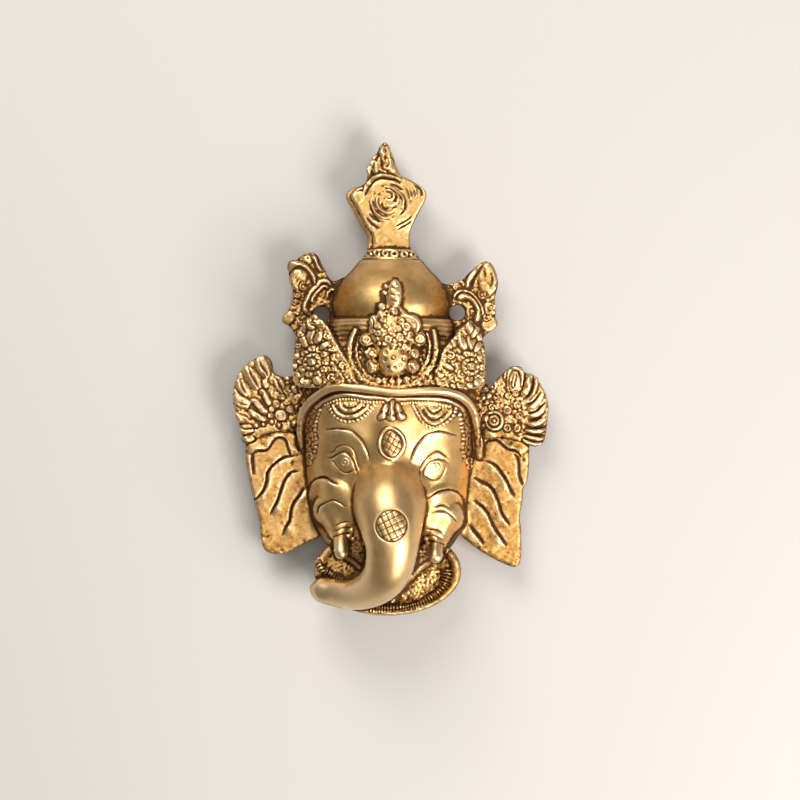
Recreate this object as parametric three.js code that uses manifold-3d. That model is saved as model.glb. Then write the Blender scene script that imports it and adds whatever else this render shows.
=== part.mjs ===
// A brass wall mask of Ganesha: an elephant's head under a tall crown, cast in one piece as a hollow shell.
// Millimetres. The mask lies on its back rim: +X is to the right and +Y towards the crown as one looks at
// the face, and +Z points out of the face. The origin is the middle of its footprint, on the back plane.

import * as THREE from "three";
import { mergeVertices } from "three/addons/utils/BufferGeometryUtils.js";
import Module from "manifold-3d";

const wasm = await Module();
wasm.setup();

// Driving dimensions.
const WALL = 3.4; // thickness of the cast shell
const BELOW = 3; // how far each rough form runs below the back plane, before the back is cut flat
const EAR_FRONT = 12; // height of the ears' faces above the back plane
const EAR_THICK = 4;
const FAN_FRONT = 13.5; // the feathered fans above the ears
const FAN_THICK = 4.2;
const FLANGE_FRONT = 14; // the scrolled flanges beside the dome
const FLANGE_THICK = 5;
const FINIAL_FRONT = 17; // the spade at the top
const FINIAL_THICK = 8;
const CROWN_X = 0.3; // the crown's turned body: its axis runs along Y
const CROWN_Z = 12;
const CREST_X = 1.1; // the middle of the central crest
const CREST_FRONT = 42;
const BAND_RADIUS = 1.5; // the rolled headband

const V = (x, y, z = 0) => new THREE.Vector3(x, y, z);

// Geometry to solid, and solid to geometry.
function solid(geometry) {
  const bare = geometry.index ? geometry.toNonIndexed() : geometry.clone();
  for (const name of Object.keys(bare.attributes)) {
    if (name !== "position") bare.deleteAttribute(name);
  }
  const merged = mergeVertices(bare, 1e-4);
  return new wasm.Manifold(
    new wasm.Mesh({
      numProp: 3,
      vertProperties: merged.attributes.position.array,
      triVerts: new Uint32Array(merged.index.array),
    }),
  );
}

function geometryOf(body) {
  const mesh = body.getMesh();
  const geometry = new THREE.BufferGeometry();
  const positions = new Float32Array((mesh.vertProperties.length / mesh.numProp) * 3);
  for (let i = 0; i < positions.length / 3; i++) {
    for (let k = 0; k < 3; k++) positions[3 * i + k] = mesh.vertProperties[i * mesh.numProp + k];
  }
  geometry.setAttribute("position", new THREE.BufferAttribute(positions, 3));
  geometry.setIndex(Array.from(mesh.triVerts));
  geometry.computeVertexNormals();
  return geometry;
}

const joined = (solids) => wasm.Manifold.union(solids);

// A closed skin over rings of points: each ring is a loop, and both ends are closed by a fan.
function skin(rings) {
  const count = rings[0].length;
  const points = rings.flat();
  const middle = (ring) => ring.reduce((sum, p) => sum.add(p), V(0, 0, 0)).divideScalar(count);
  points.push(middle(rings[0]), middle(rings.at(-1)));
  const [first, last] = [points.length - 2, points.length - 1];
  const end = (rings.length - 1) * count;
  const faces = [];
  for (let j = 0; j < count; j++) {
    const k = (j + 1) % count;
    for (let i = 0; i < rings.length - 1; i++) {
      const [a, b, c, d] = [i * count + j, i * count + k, (i + 1) * count + j, (i + 1) * count + k];
      faces.push(a, b, d, a, d, c);
    }
    faces.push(first, k, j, last, end + j, end + k);
  }
  const geometry = new THREE.BufferGeometry().setFromPoints(points);
  geometry.setIndex(faces);
  const made = solid(geometry);
  if (made.volume() > 0) return made;
  geometry.setIndex(faces.reverse());
  return solid(geometry);
}

// A round bar along a smooth curve. Its radii are spread evenly from one end to the other.
function bar(path, radii, { sides = 6, steps = 10 } = {}) {
  const curve = new THREE.CatmullRomCurve3(path);
  const rings = [];
  for (let i = 0; i <= steps; i++) {
    const t = i / steps;
    const place = curve.getPoint(t);
    const along = curve.getTangent(t);
    const side = V(0, 0, 1).cross(along).normalize();
    const up = along.clone().cross(side);
    const at = t * (radii.length - 1);
    const low = Math.min(Math.floor(at), radii.length - 2);
    const radius = THREE.MathUtils.lerp(radii[low], radii[low + 1], at - low);
    rings.push(
      Array.from({ length: sides }, (_, j) => {
        const angle = (2 * Math.PI * (j + 0.5)) / sides;
        return place
          .clone()
          .addScaledVector(side, radius * Math.cos(angle))
          .addScaledVector(up, radius * Math.sin(angle));
      }),
    );
  }
  return skin(rings);
}

// An egg, ball or petal: a sphere stretched, turned in the plane of the face and set in place.
function egg(place, radii, { turn = 0, tilt = 0, sides = 10, rows = 6 } = {}) {
  const geometry = new THREE.SphereGeometry(1, sides, rows);
  geometry.rotateX(Math.PI / 2);
  geometry.scale(radii.x, radii.y, radii.z);
  geometry.rotateX(tilt);
  geometry.rotateZ(turn);
  geometry.translate(place.x, place.y, place.z);
  return solid(geometry);
}

// A small ball, made of two six-sided points.
const bead = (place, radius) => egg(place, V(radius, radius, radius), { sides: 6, rows: 2 });

const around = (place, radius, angle) =>
  V(place.x + radius * Math.cos(angle), place.y + radius * Math.sin(angle), place.z);

// A ring, and a part of one, that lie in the plane of the face.
function ring(place, radius, thick, { sides = 4, steps = 10 } = {}) {
  const geometry = new THREE.TorusGeometry(radius, thick, sides, steps);
  geometry.translate(place.x, place.y, place.z);
  return solid(geometry);
}

function arch(place, radius, thick, { start, arc, steps = 7 }) {
  const points = Array.from({ length: steps + 1 }, (_, i) => around(place, radius, start + (arc * i) / steps));
  return bar(points, [thick / 2, thick, thick, thick, thick / 2], { sides: 4, steps });
}

// A curl of foliage: a bar that winds in towards its middle, and ends in a small ball.
function curl(place, radius, { hand = 1, start = 0, thick = 0.7 } = {}) {
  const turn = hand * 1.55 * Math.PI;
  const points = Array.from({ length: 10 }, (_, i) => {
    const share = i / 9;
    return around(place, radius * (1 - 0.45 * share), start + turn * share);
  });
  return [bar(points, [thick * 0.7, thick, thick * 0.8], { sides: 4, steps: 5 }), bead(place, radius * 0.42)];
}

// A flat casting: an outline with eased edges, its front face at z = front.
function plate(outline, front, thick, { ease = 0.8, holes = [] } = {}) {
  const corners = outline.map(([x, y]) => new THREE.Vector2(x, y));
  if (THREE.ShapeUtils.isClockWise(corners)) corners.reverse();
  const shape = new THREE.Shape(corners);
  for (const [x, y, radius] of holes) {
    const angles = Array.from({ length: 10 }, (_, i) => (-2 * Math.PI * i) / 10);
    const round = angles.map((a) => new THREE.Vector2(x + radius * Math.cos(a), y + radius * Math.sin(a)));
    shape.holes.push(new THREE.Path(round));
  }
  const geometry = new THREE.ExtrudeGeometry(shape, {
    depth: thick - ease,
    bevelEnabled: true,
    bevelThickness: ease,
    bevelSize: ease,
    bevelOffset: -ease,
    bevelSegments: 1,
  });
  geometry.translate(0, 0, front - thick);
  return solid(geometry).trimByPlane([0, 0, 1], front - thick);
}

// Evenly spaced points on a smooth line through a few given ones.
function smooth(points, count) {
  const curve = new THREE.CatmullRomCurve3(
    points.map(([x, y]) => V(x, y)),
    false,
    "centripetal",
  );
  return curve.getSpacedPoints(count).map((p) => [p.x, p.y]);
}

// The head: arches across the face, from the pointed upper lip to the crown's base.
// Each station is y, the middle's x, the half width, the height and the fullness of the arch.
const HEAD = [
  [-89.5, 0.8, 1.6, 19, 3],
  [-84, 0.7, 5.6, 20.6, 3.4],
  [-79, 0.5, 11, 22.6, 3.4],
  [-73, 0, 18.6, 26.6, 3.2],
  [-67, -0.2, 25.4, 30.6, 2.9],
  [-58, -0.6, 30.6, 33.5, 2.6],
  [-46, -1, 32.6, 35.5, 2.7],
  [-28, -0.8, 34.3, 38, 2.8],
  [-14, -0.2, 35.6, 40, 2.8],
  [-2, 0, 34.4, 39.5, 2.8],
  [12, 0, 31, 36.5, 2.9],
  [15.5, 0, 27.5, 32, 2.9],
];

function stationAt(y) {
  const after = HEAD.findIndex(([at]) => at > y);
  const [below, above] = [HEAD[after - 1], HEAD[after]];
  const share = (y - below[0]) / (above[0] - below[0]);
  return below.map((value, k) => THREE.MathUtils.lerp(value, above[k], share));
}

// Height of the face above the back plane.
function faceZ(x, y) {
  const [, middle, half, height, fullness] = stationAt(y);
  const share = Math.min(Math.abs(x - middle) / half, 0.999);
  return height * (1 - share ** fullness) ** (1 / fullness);
}

const onFace = (x, y, lift = 0) => V(x, y, faceZ(x, y) + lift);

function arches(stations, sides) {
  return skin(
    stations.map(([y, middle, half, height, fullness]) => {
      const loop = [];
      for (let j = 0; j <= sides; j++) {
        const angle = (Math.PI * j) / sides;
        const [c, s] = [Math.cos(angle), Math.sin(angle)];
        const across = Math.sign(c) * Math.abs(c) ** (2 / fullness) * half;
        loop.push(V(middle + across, y, height * Math.abs(s) ** (2 / fullness)));
      }
      loop.push(V(middle - half, y, -BELOW), V(middle + half, y, -BELOW));
      return loop;
    }),
  );
}

// The turned crown: drum, dome and neck. Each point is the radius and y.
const CROWN = [
  [24.6, 8],
  [25, 20.6],
  [24.2, 23.6],
  [22.9, 24.6],
  [23.7, 30],
  [22.9, 36],
  [21, 40],
  [16.8, 43.8],
  [12.6, 47.2],
  [11.4, 48],
  [9, 51.6],
  [8, 55],
];

function turned(profile, sides) {
  const closed = [[0, profile[0][1]], ...profile, [0, profile.at(-1)[1]]];
  const geometry = new THREE.LatheGeometry(
    closed.map(([radius, y]) => new THREE.Vector2(radius, y)),
    sides,
  );
  geometry.translate(CROWN_X, 0, CROWN_Z);
  return solid(geometry);
}

// The lower jaw: an oval dish with a rolled lip. Each point is a share of the dish's radii, and z.
const JAW = { x: -1, y: -77.2, rx: 29.4, ry: 17.8, lip: 17.5, floor: 14 };
const JAW_PROFILE = [
  [0, JAW.floor + 2],
  [0.68, JAW.floor],
  [0.74, JAW.lip - 3.2],
  [0.84, JAW.lip - 2.8],
  [0.88, JAW.lip - 0.6],
  [0.94, JAW.lip],
  [1, JAW.lip - 2.4],
  [0.97, 6],
  [0.95, -BELOW],
  [0, -BELOW],
];

function dish(profile, rx, ry, segments) {
  const geometry = new THREE.LatheGeometry(
    profile.map(([share, z]) => new THREE.Vector2(share, z)).reverse(),
    segments,
  );
  geometry.rotateX(Math.PI / 2);
  geometry.scale(rx, ry, 1);
  geometry.translate(JAW.x, JAW.y, 0);
  return solid(geometry);
}

function headAndJaw() {
  return [
    arches(HEAD, 12),
    dish(JAW_PROFILE, JAW.rx, JAW.ry, 24),
    egg(V(-22.6, -52.2, 19), V(11.2, 12.8, 15.6), { sides: 11, rows: 6 }), // cheeks
    egg(V(21.4, -53.8, 19), V(10.8, 12.6, 15.6), { sides: 11, rows: 6 }),
  ];
}

// The trunk: out from between the eyes, down over the mouth and round to the left.
function trunk() {
  const path = [
    V(-1.2, -33, 26),
    V(-0.9, -41, 32.4),
    V(-0.2, -50, 39),
    V(0.5, -59, 44.2),
    V(0.6, -68, 45.5),
    V(-1.4, -76.5, 43),
    V(-7, -82.8, 37),
    V(-14.5, -85.8, 30.5),
    V(-22, -85.2, 25),
    V(-27.4, -84.2, 22.4),
    V(-30.4, -83.8, 21.4),
  ];
  const radii = [9, 12.6, 14.3, 12, 10.1, 9.1, 7.5, 6, 5.3, 4.9, 2.9];
  const spot = V(0.6, -56.6, 54.4);
  return [
    bar(path, radii, { sides: 12, steps: 14 }),
    egg(spot, V(6.3, 6.7, 2.2), { tilt: -0.42, sides: 10, rows: 4 }),
  ];
}

function tusks() {
  const solids = [];
  for (const [x, y, side] of [
    [-19.2, -61.4, -1],
    [17.9, -64.4, 1],
  ]) {
    const root = V(x, y + 1, 31);
    const tip = V(x + side * 0.2, y - 9, 37);
    solids.push(bar([root, root.clone().lerp(tip, 0.5), tip], [2.4, 2.5, 2.3, 1.2], { sides: 6, steps: 3 }));
    solids.push(egg(V(x, y + 1.4, 31.6), V(4.4, 2.3, 4.2), { tilt: 0.5, sides: 8, rows: 4 }));
  }
  return solids;
}

// Eyes, lids, brows and the mark on the forehead, raised on the face.
function features() {
  const line = (points, radius, lift = 0.1) =>
    bar(
      smooth(points, 6).map(([x, y]) => onFace(x, y, lift)),
      [radius * 0.4, radius, radius, radius * 0.4],
      { sides: 4, steps: 6 },
    );
  const eyes = [
    [-18.2, -34.2, -0.2],
    [18, -35.6, 0.25],
  ].flatMap(([x, y, turn]) => [
    egg(onFace(x, y, -0.9), V(4.6, 2.9, 2.4), { turn, sides: 8, rows: 4 }),
    bead(onFace(x, y, 1), 0.9),
  ]);
  const lids = [
    [[-25.6, -30], [-21.6, -29.4], [-17.4, -30.3], [-13.6, -34.4], [-12, -38]],
    [[24.4, -31.6], [20.2, -30.9], [16.2, -32.2], [13, -36.2], [11.8, -40.4]],
  ].map((points) => line(points, 0.75));
  const brows = [
    [[-25.6, -21.4], [-20, -20.8], [-14.6, -23], [-10.4, -27.4], [-8.6, -33.8]],
    [[26.4, -23], [20.6, -21.6], [14.8, -23.2], [10.8, -27.4], [8.8, -33.8]],
  ].map((points) => line(points, 1.3));
  return [...eyes, ...lids, ...brows, egg(onFace(0.8, -25.4, -1), V(5.2, 6.4, 2.4), { sides: 12, rows: 4 })];
}

// The headband with what hangs from it on the forehead.
function headband() {
  const path = [
    V(-35.6, -28, 17),
    V(-36, -20.5, 22),
    V(-34.8, -13.8, 27),
    V(-30.4, -8.2, 32.5),
    V(-22.6, -3.8, 37.2),
    V(-12.3, -3.9, 39.8),
    V(2.2, -5.6, 40.8),
    V(16.6, -5, 39.6),
    V(26.4, -6.6, 36),
    V(32.2, -11.6, 30),
    V(34.6, -20, 23.5),
    V(35.8, -32, 15),
  ];
  const solids = [bar(path, [1, BAND_RADIUS, BAND_RADIUS, 1], { sides: 6, steps: 20 })];
  for (const [x, y, half, drop] of [
    [-15.8, -9.2, 7.3, 5.5],
    [18.3, -10.4, 6.8, 6],
  ]) {
    const swag = [-1, -0.6, 0, 0.6, 1].map((t) => onFace(x + t * half, y - drop * (1 - t * t), 0.3));
    solids.push(bar(swag, [0.5, 1.2, 0.5], { sides: 5, steps: 8 }));
  }
  for (const [x, width] of [[0.6, 2], [-2.2, 1.4], [3.3, 1.4]]) {
    solids.push(egg(onFace(x, x === 0.6 ? -12.6 : -12, 0.4), V(width, 3, 1.6), { sides: 6, rows: 2 }));
  }
  return solids;
}

// The right half of the central crest's outline: a pear with a bud on top, and a round foot.
const CREST = [
  [0, 38.2],
  [2.6, 37],
  [3.6, 34],
  [3.4, 29],
  [5.6, 26.4],
  [8.8, 23.6],
  [10.8, 19.4],
  [10.4, 15],
  [8, 12],
  [6.6, 9],
  [6.2, 5],
  [4.4, 1.4],
  [0, 0.2],
];

function mirrored(half) {
  const other = half
    .slice(1, -1)
    .reverse()
    .map(([x, y]) => [-x, y]);
  return [...half, ...other];
}

function centralCrest() {
  const at = (x, y, lift = 0) => V(CREST_X + x, y, CREST_FRONT + lift);
  const outline = mirrored(CREST).map(([x, y]) => [x + CREST_X, y]);
  const solids = [plate(outline, CREST_FRONT, 10, { ease: 1 })];
  const start = THREE.MathUtils.degToRad(153);
  const arc = THREE.MathUtils.degToRad(234);
  solids.push(arch(at(0.2, 13.2, -3), 16.6, 1.7, { start, arc, steps: 14 }));
  solids.push(arch(at(0.2, 13.2, -3), 13.4, 1, { start, arc, steps: 12 }));
  solids.push(egg(at(0, 7, -0.6), V(5.3, 6.6, 3), { sides: 8, rows: 4 }));
  solids.push(egg(at(0, 17.6, -0.6), V(7.2, 5.8, 3), { sides: 8, rows: 4 }));
  solids.push(egg(at(0, 32.6, -0.8), V(2.7, 5, 2.6), { sides: 8, rows: 4 }));
  solids.push(bead(at(0, 24.8, 0.8), 1.9), bead(at(0, 18.6, 2.4), 1.6), bead(at(0, 7, 2.4), 1.4));
  for (const side of [-1, 1]) {
    for (const [x, y, radius] of [
      [8.6, 21, 2.2],
      [10.8, 15.4, 2.4],
      [7.6, 8, 2.2],
    ]) {
      solids.push(egg(at(side * x, y, -1.2), V(radius, radius, 2.6), { sides: 6, rows: 2 }));
    }
    solids.push(bead(at(side * 4.4, 21.4, 0.9), 1.5), bead(at(side * 4.2, 14.6, 1.6), 1.2));
  }
  return solids;
}

// A side crest: a leaf with a flower, petals over it and buds up its edges. It turns outward.
const LEAF = [
  [0, 24.6],
  [3.6, 22.4],
  [6.8, 17.4],
  [9.6, 11],
  [11.6, 5],
  [12.2, 0],
  [8, -3],
];

function sideCrest() {
  const outline = [...LEAF, ...LEAF.slice(1).reverse().map(([x, y]) => [-x, y])];
  const solids = [plate(outline, 0, 7, { ease: 1 })];
  const heart = [0, 6.4];
  solids.push(egg(V(...heart, 0), V(5.6, 5.6, 1.5), { sides: 8, rows: 2 }));
  solids.push(bead(V(...heart, 1.2), 1.7));
  for (const [lean, length] of [[-0.8, 3.4], [-0.28, 4], [0.28, 4], [0.8, 3.4]]) {
    const place = V(heart[0] - Math.sin(lean) * 9.8, heart[1] - 1.6 + Math.cos(lean) * 11.4, -0.2);
    solids.push(egg(place, V(1.6, length, 1.8), { turn: lean, sides: 6, rows: 2 }));
  }
  solids.push(egg(V(0, 21, 0), V(2, 2.6, 1.6), { sides: 6, rows: 2 }));
  for (const side of [-1, 1]) {
    for (const [x, y] of [[9.2, 1.8], [8.4, 7.4], [7, 12.4]]) {
      solids.push(egg(V(side * x, y, -0.3), V(1.7, 2.2, 1.9), { turn: side * 0.5, sides: 6, rows: 2 }));
    }
    solids.push(bead(V(side * 4.4, -0.6, -0.2), 1.6));
  }
  return joined(solids);
}

const SIDE_CRESTS = [
  { x: -30.4, y: 0.4, z: 32.5, turn: -32, lean: 1 },
  { x: 31, y: -1.4, z: 32, turn: 34, lean: 0 },
];

function crests() {
  const leaf = sideCrest();
  const sides = SIDE_CRESTS.map(({ x, y, z, turn, lean }) => leaf.rotate([0, turn, lean]).translate([x, y, z]));
  return [...centralCrest(), ...sides];
}

// The flanges beside the dome: a ring round a hole, a fat scroll, and curled leaves.
const LEFT_FLANGE = [
  [-18, 41],
  [-23.3, 39.2],
  [-26.6, 44.2],
  [-29.6, 49.8],
  [-33.2, 50.4],
  [-37.6, 47.6],
  [-40.8, 42.6],
  [-39.4, 37.6],
  [-39.2, 33.6],
  [-40.6, 28],
  [-43.2, 23.6],
  [-40.2, 20.6],
  [-34, 14],
  [-20, 12],
];
const RIGHT_FLANGE = [
  [18, 39.6],
  [23.6, 37.6],
  [28.6, 39.4],
  [32.4, 43.2],
  [38, 47],
  [41.4, 44.4],
  [43.2, 38.4],
  [42, 32],
  [42.2, 24.6],
  [42.6, 21.4],
  [37.6, 16.8],
  [34, 12],
  [20, 12],
];

function flanges() {
  const z = FLANGE_FRONT;
  const left = V(-27.7, 25.6, z);
  const right = V(26.8, 26.4, z);
  const quarter = Math.PI / 2;
  return [
    plate(LEFT_FLANGE, z, FLANGE_THICK, { ease: 1, holes: [[left.x, left.y, 3.4]] }),
    plate(RIGHT_FLANGE, z, FLANGE_THICK, { ease: 1, holes: [[right.x, right.y, 3.2]] }),
    arch(left, 5.4, 0.9, { start: 0.9 * quarter, arc: 2.1 * quarter }),
    arch(left, 8.2, 1.5, { start: 0.7 * quarter, arc: 2 * quarter }),
    arch(right, 5, 0.9, { start: -0.7 * quarter, arc: 2.2 * quarter }),
    arch(right, 7.8, 1.7, { start: -0.6 * quarter, arc: 2 * quarter }),
    egg(V(-36.4, 43.2, z), V(3.8, 5.6, 2), { turn: -0.5, sides: 8, rows: 4 }),
    egg(V(-32.4, 46.4, z), V(1.9, 3.4, 1.7), { turn: 0.5, sides: 6, rows: 2 }),
    egg(V(-40, 24.2, z), V(2.6, 3, 1.6), { turn: -0.6, sides: 6, rows: 2 }),
    ...curl(V(-36.6, 34.8, z), 2.4, { start: 2, hand: 1 }),
    ...curl(V(-37.8, 29.4, z), 2.1, { start: 1, hand: -1 }),
    egg(V(38.2, 42.2, z), V(4, 4.6, 1.6), { turn: 0.5, sides: 8, rows: 4 }),
    egg(V(31.4, 40, z), V(1.6, 3.2, 1.6), { turn: -0.8, sides: 6, rows: 2 }),
    ...curl(V(35.6, 36.6, z), 2.6, { start: 0.4, hand: 1 }),
    ...curl(V(39.6, 30, z), 2.3, { start: 2, hand: -1 }),
    ...curl(V(38.8, 22.4, z), 2.9, { start: 1.4, hand: 1 }),
  ];
}

// The spade-shaped finial, with a medallion and a flame above it.
const FINIAL = [
  [-9.4, 50],
  [-9.2, 56.8],
  [-11.8, 61.2],
  [-15, 67.2],
  [-17.6, 72],
  [-17.6, 74.2],
  [-14.6, 76.4],
  [-11.6, 77.2],
  [-9.6, 79],
  [-8.8, 83.6],
  [-7.6, 87.4],
  [-5.6, 90],
  [-3.8, 93.2],
  [-2.2, 94.8],
  [-0.6, 93.4],
  [1, 89.2],
  [3.8, 81.8],
  [7.8, 79.6],
  [12, 77],
  [14.2, 74.8],
  [14.2, 71.8],
  [12.2, 68],
  [8.4, 60.2],
  [7.8, 56],
  [8.4, 50],
];

function finial() {
  const z = FINIAL_FRONT;
  const middle = V(-1.4, 70.4, z);
  const solids = [
    plate(FINIAL, z, FINIAL_THICK, { ease: 1.3 }),
    ring(middle, 9.2, 0.9, { steps: 14 }),
    arch(V(middle.x, middle.y - 0.4, z), 5.4, 1, { start: 2.9, arc: 3.3 }),
    egg(V(-2.8, 85.6, z), V(1.4, 4.2, 1.8), { turn: 0.1, sides: 6, rows: 2 }),
    egg(V(-5.8, 83.8, z - 0.4), V(1.2, 3.4, 1.8), { turn: 0.25, sides: 6, rows: 2 }),
    egg(V(0.2, 83.6, z - 0.4), V(1.2, 3.4, 1.8), { turn: -0.3, sides: 6, rows: 2 }),
    bead(V(middle.x - 1.4, middle.y + 2.6, z), 2),
  ];
  const count = 8;
  const [low, high] = [0.12 * Math.PI, 0.88 * Math.PI];
  for (let i = 0; i < count; i++) {
    const angle = low + ((high - low) * i) / (count - 1);
    solids.push(bead(V(CROWN_X + 9.9 * Math.cos(angle), 49.9, CROWN_Z + 9.9 * Math.sin(angle)), 1.15));
  }
  return solids;
}

// The ears: flat lobes with a raised, waved border and long flowing creases cut into them.
const EARS = [
  {
    outline: [
      [-57.8, -27],
      [-55.4, -22.6],
      [-50, -19.4],
      [-44.4, -18.2],
      [-40.6, -19.2],
      [-36, -24],
      [-30, -34],
      [-30, -50],
      [-30, -60],
      [-28.6, -63.4],
      [-32.6, -65.4],
      [-37.2, -67.8],
      [-41.8, -70],
      [-46.4, -70.4],
      [-50.4, -68.8],
      [-52, -63.6],
      [-52.6, -56.6],
      [-54.8, -49],
      [-57.2, -38],
      [-58.2, -31],
    ],
    creases: [
      [[-54.4, -38], [-55.2, -33], [-52.6, -29.8], [-48.6, -28.6], [-45, -25.6], [-41.4, -24.4], [-39.4, -27]],
      [[-40.4, -30.6], [-44.6, -31.6], [-48.4, -36], [-50.2, -42], [-53.6, -47.4]],
      [[-37.4, -37], [-41.6, -39.6], [-44.6, -45.6], [-48, -51.6]],
      [[-35, -43.6], [-38.8, -48.8], [-40.6, -54.6], [-42.4, -60.6]],
    ],
  },
  {
    outline: [
      [34, -24.6],
      [37.8, -22],
      [42.4, -20.4],
      [47.4, -21],
      [52, -23.8],
      [55.4, -26.8],
      [55.8, -32],
      [55.2, -40.4],
      [53.4, -44.4],
      [53.2, -49],
      [52, -55.4],
      [52.6, -61.4],
      [52.4, -72.6],
      [50.2, -75.6],
      [46.2, -74.6],
      [40.2, -71.6],
      [35.4, -68.6],
      [31.8, -65.6],
      [28, -61.6],
      [28.6, -50],
      [29, -34],
    ],
    creases: [
      [[37, -34], [36.8, -28.6], [40, -25.4], [44.4, -27], [48, -29.6], [51.4, -30.6], [53, -34.6], [53, -41]],
      [[38.6, -33], [43, -35], [46.4, -40.6], [50.4, -45.4]],
      [[35.4, -39], [40, -41], [43.6, -47], [48, -55]],
      [[36.4, -46.6], [40, -51], [43.4, -57], [47.2, -63.4]],
    ],
  },
];

function ears() {
  return joined(
    EARS.map(({ outline, creases }) => {
      const lobe = plate(outline, EAR_FRONT, EAR_THICK, { ease: 0.9 });
      const cuts = creases.map((points) =>
        bar(
          smooth(points, 7).map(([x, y]) => V(x, y, EAR_FRONT + 0.3)),
          [0.4, 1.2, 1.2, 0.5],
          { sides: 3, steps: 6 },
        ),
      );
      return lobe.subtract(joined(cuts));
    }),
  );
}

// The fans above the ears: feathers that spread from a bunch of flowers.
const FANS = [
  {
    outline: [
      [-33, 4],
      [-38.6, 1.6],
      [-41.8, 0.4],
      [-46.6, 2.4],
      [-47.2, 5.6],
      [-48.6, 8.4],
      [-50.8, 9.4],
      [-54.6, 7.8],
      [-58.4, 4.8],
      [-61.4, 0.8],
      [-63, -4.2],
      [-63.2, -9],
      [-61.8, -14.8],
      [-59.8, -20.6],
      [-58.2, -25.6],
      [-54, -24],
      [-48, -21],
      [-40, -21],
      [-32, -24],
    ],
    flower: [-44.2, -14.4],
    feathers: [
      [-49.6, 4.2, 0.25, 5.4],
      [-54.4, 1, 0.6, 6.4],
      [-58.4, -3.4, 0.85, 5.8],
      [-59.6, -9.4, 1.25, 4.6],
      [-58.6, -15, 1.45, 4],
    ],
    buds: [
      [-50.2, -5.2, 0.55, 3.2],
      [-52, -9.6, 0.95, 3.4],
      [-52.4, -14.6, 1.3, 3],
      [-50.4, -18.6, 1.7, 2.4],
    ],
  },
  {
    outline: [
      [32, -2],
      [38.4, -2.2],
      [40.8, -3],
      [43.8, 0.8],
      [46.6, 3.2],
      [49.2, 4.8],
      [52.2, 4.8],
      [54.4, 2.2],
      [56.8, 2],
      [59.2, -0.6],
      [62.2, -5.8],
      [63.4, -10],
      [63.4, -14],
      [62.8, -19],
      [61.8, -24.8],
      [60.2, -26.4],
      [57, -26.8],
      [54.6, -26],
      [50, -24],
      [42, -23],
      [33, -25],
    ],
    flower: [41.6, -16.8],
    feathers: [
      [50.4, 0.4, -0.1, 4.4],
      [55.4, -2.4, -0.35, 4.6],
      [58.6, -6.6, -0.8, 4.8],
      [59.6, -11.4, -1.2, 4.4],
      [59.6, -16, -1.45, 4.2],
      [59, -20.2, -1.6, 4.2],
      [57.8, -24, -1.75, 4],
    ],
    buds: [
      [46.4, -3.2, -0.4, 2.4],
      [49.6, -7.4, -0.5, 2.6],
      [50.6, -12.4, -0.9, 2.8],
      [50.4, -17.4, -1.3, 2.6],
      [45.4, -9.6, -0.3, 2.2],
    ],
  },
];

function fans() {
  const z = FAN_FRONT;
  return FANS.flatMap(({ outline, flower, feathers, buds }) => {
    return [
      plate(outline, z, FAN_THICK, { ease: 0.9 }),
      egg(V(...flower, z), V(3.4, 3.4, 1.8), { sides: 8, rows: 4 }),
      ring(V(...flower, z + 1.3), 2.1, 0.7, { sides: 4, steps: 8 }),
      ...feathers.map(([x, y, turn, length]) =>
        egg(V(x, y, z - 0.2), V(1.6, length, 1.9), { turn, sides: 6, rows: 2 }),
      ),
      ...buds.map(([x, y, turn, length]) =>
        egg(V(x, y, z), V(1.7, length, 2), { turn, sides: 6, rows: 2 }),
      ),
    ];
  });
}

// The hollow behind the face, jaw and crown.
function hollow() {
  const within = HEAD.slice(2, -1).map(([y, middle, half, height, fullness], i) => [
    i === 0 ? y + WALL : y,
    middle,
    half - WALL,
    height - WALL,
    fullness,
  ]);
  const bulb = CROWN.filter(([, y]) => y < 43).map(([radius, y]) => [radius - WALL, y]);
  bulb.push([13, 43.4], [8, 45.2]);
  bulb[0][1] = 6;
  const under = [
    [0, JAW.floor - 2.6],
    [0.75, JAW.floor - 3],
    [0.86, JAW.floor - 4],
    [0.88, -BELOW],
    [0, -BELOW],
  ];
  return joined([
    arches(within, 8),
    turned(bulb, 12),
    dish(under, JAW.rx, JAW.ry - 1, 16),
    egg(V(-0.2, -50, 32), V(8.4, 11, 9), { sides: 10, rows: 6 }), // into the root of the trunk
  ]);
}

function mask() {
  const solids = [
    ...headAndJaw(),
    ...trunk(),
    ...tusks(),
    ...features(),
    ...headband(),
    turned(CROWN, 20),
    ...crests(),
    ...flanges(),
    ...finial(),
    ears(),
    ...fans(),
  ];
  return joined(solids).subtract(hollow()).trimByPlane([0, 0, 1], 0);
}

const brass = new THREE.MeshStandardMaterial({ color: 0xb08a45, metalness: 1, roughness: 0.42 });
const body = new THREE.Mesh(geometryOf(mask()), brass);
body.name = "mask";

const part = new THREE.Group();
part.add(body);

export default part;
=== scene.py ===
import math

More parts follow.
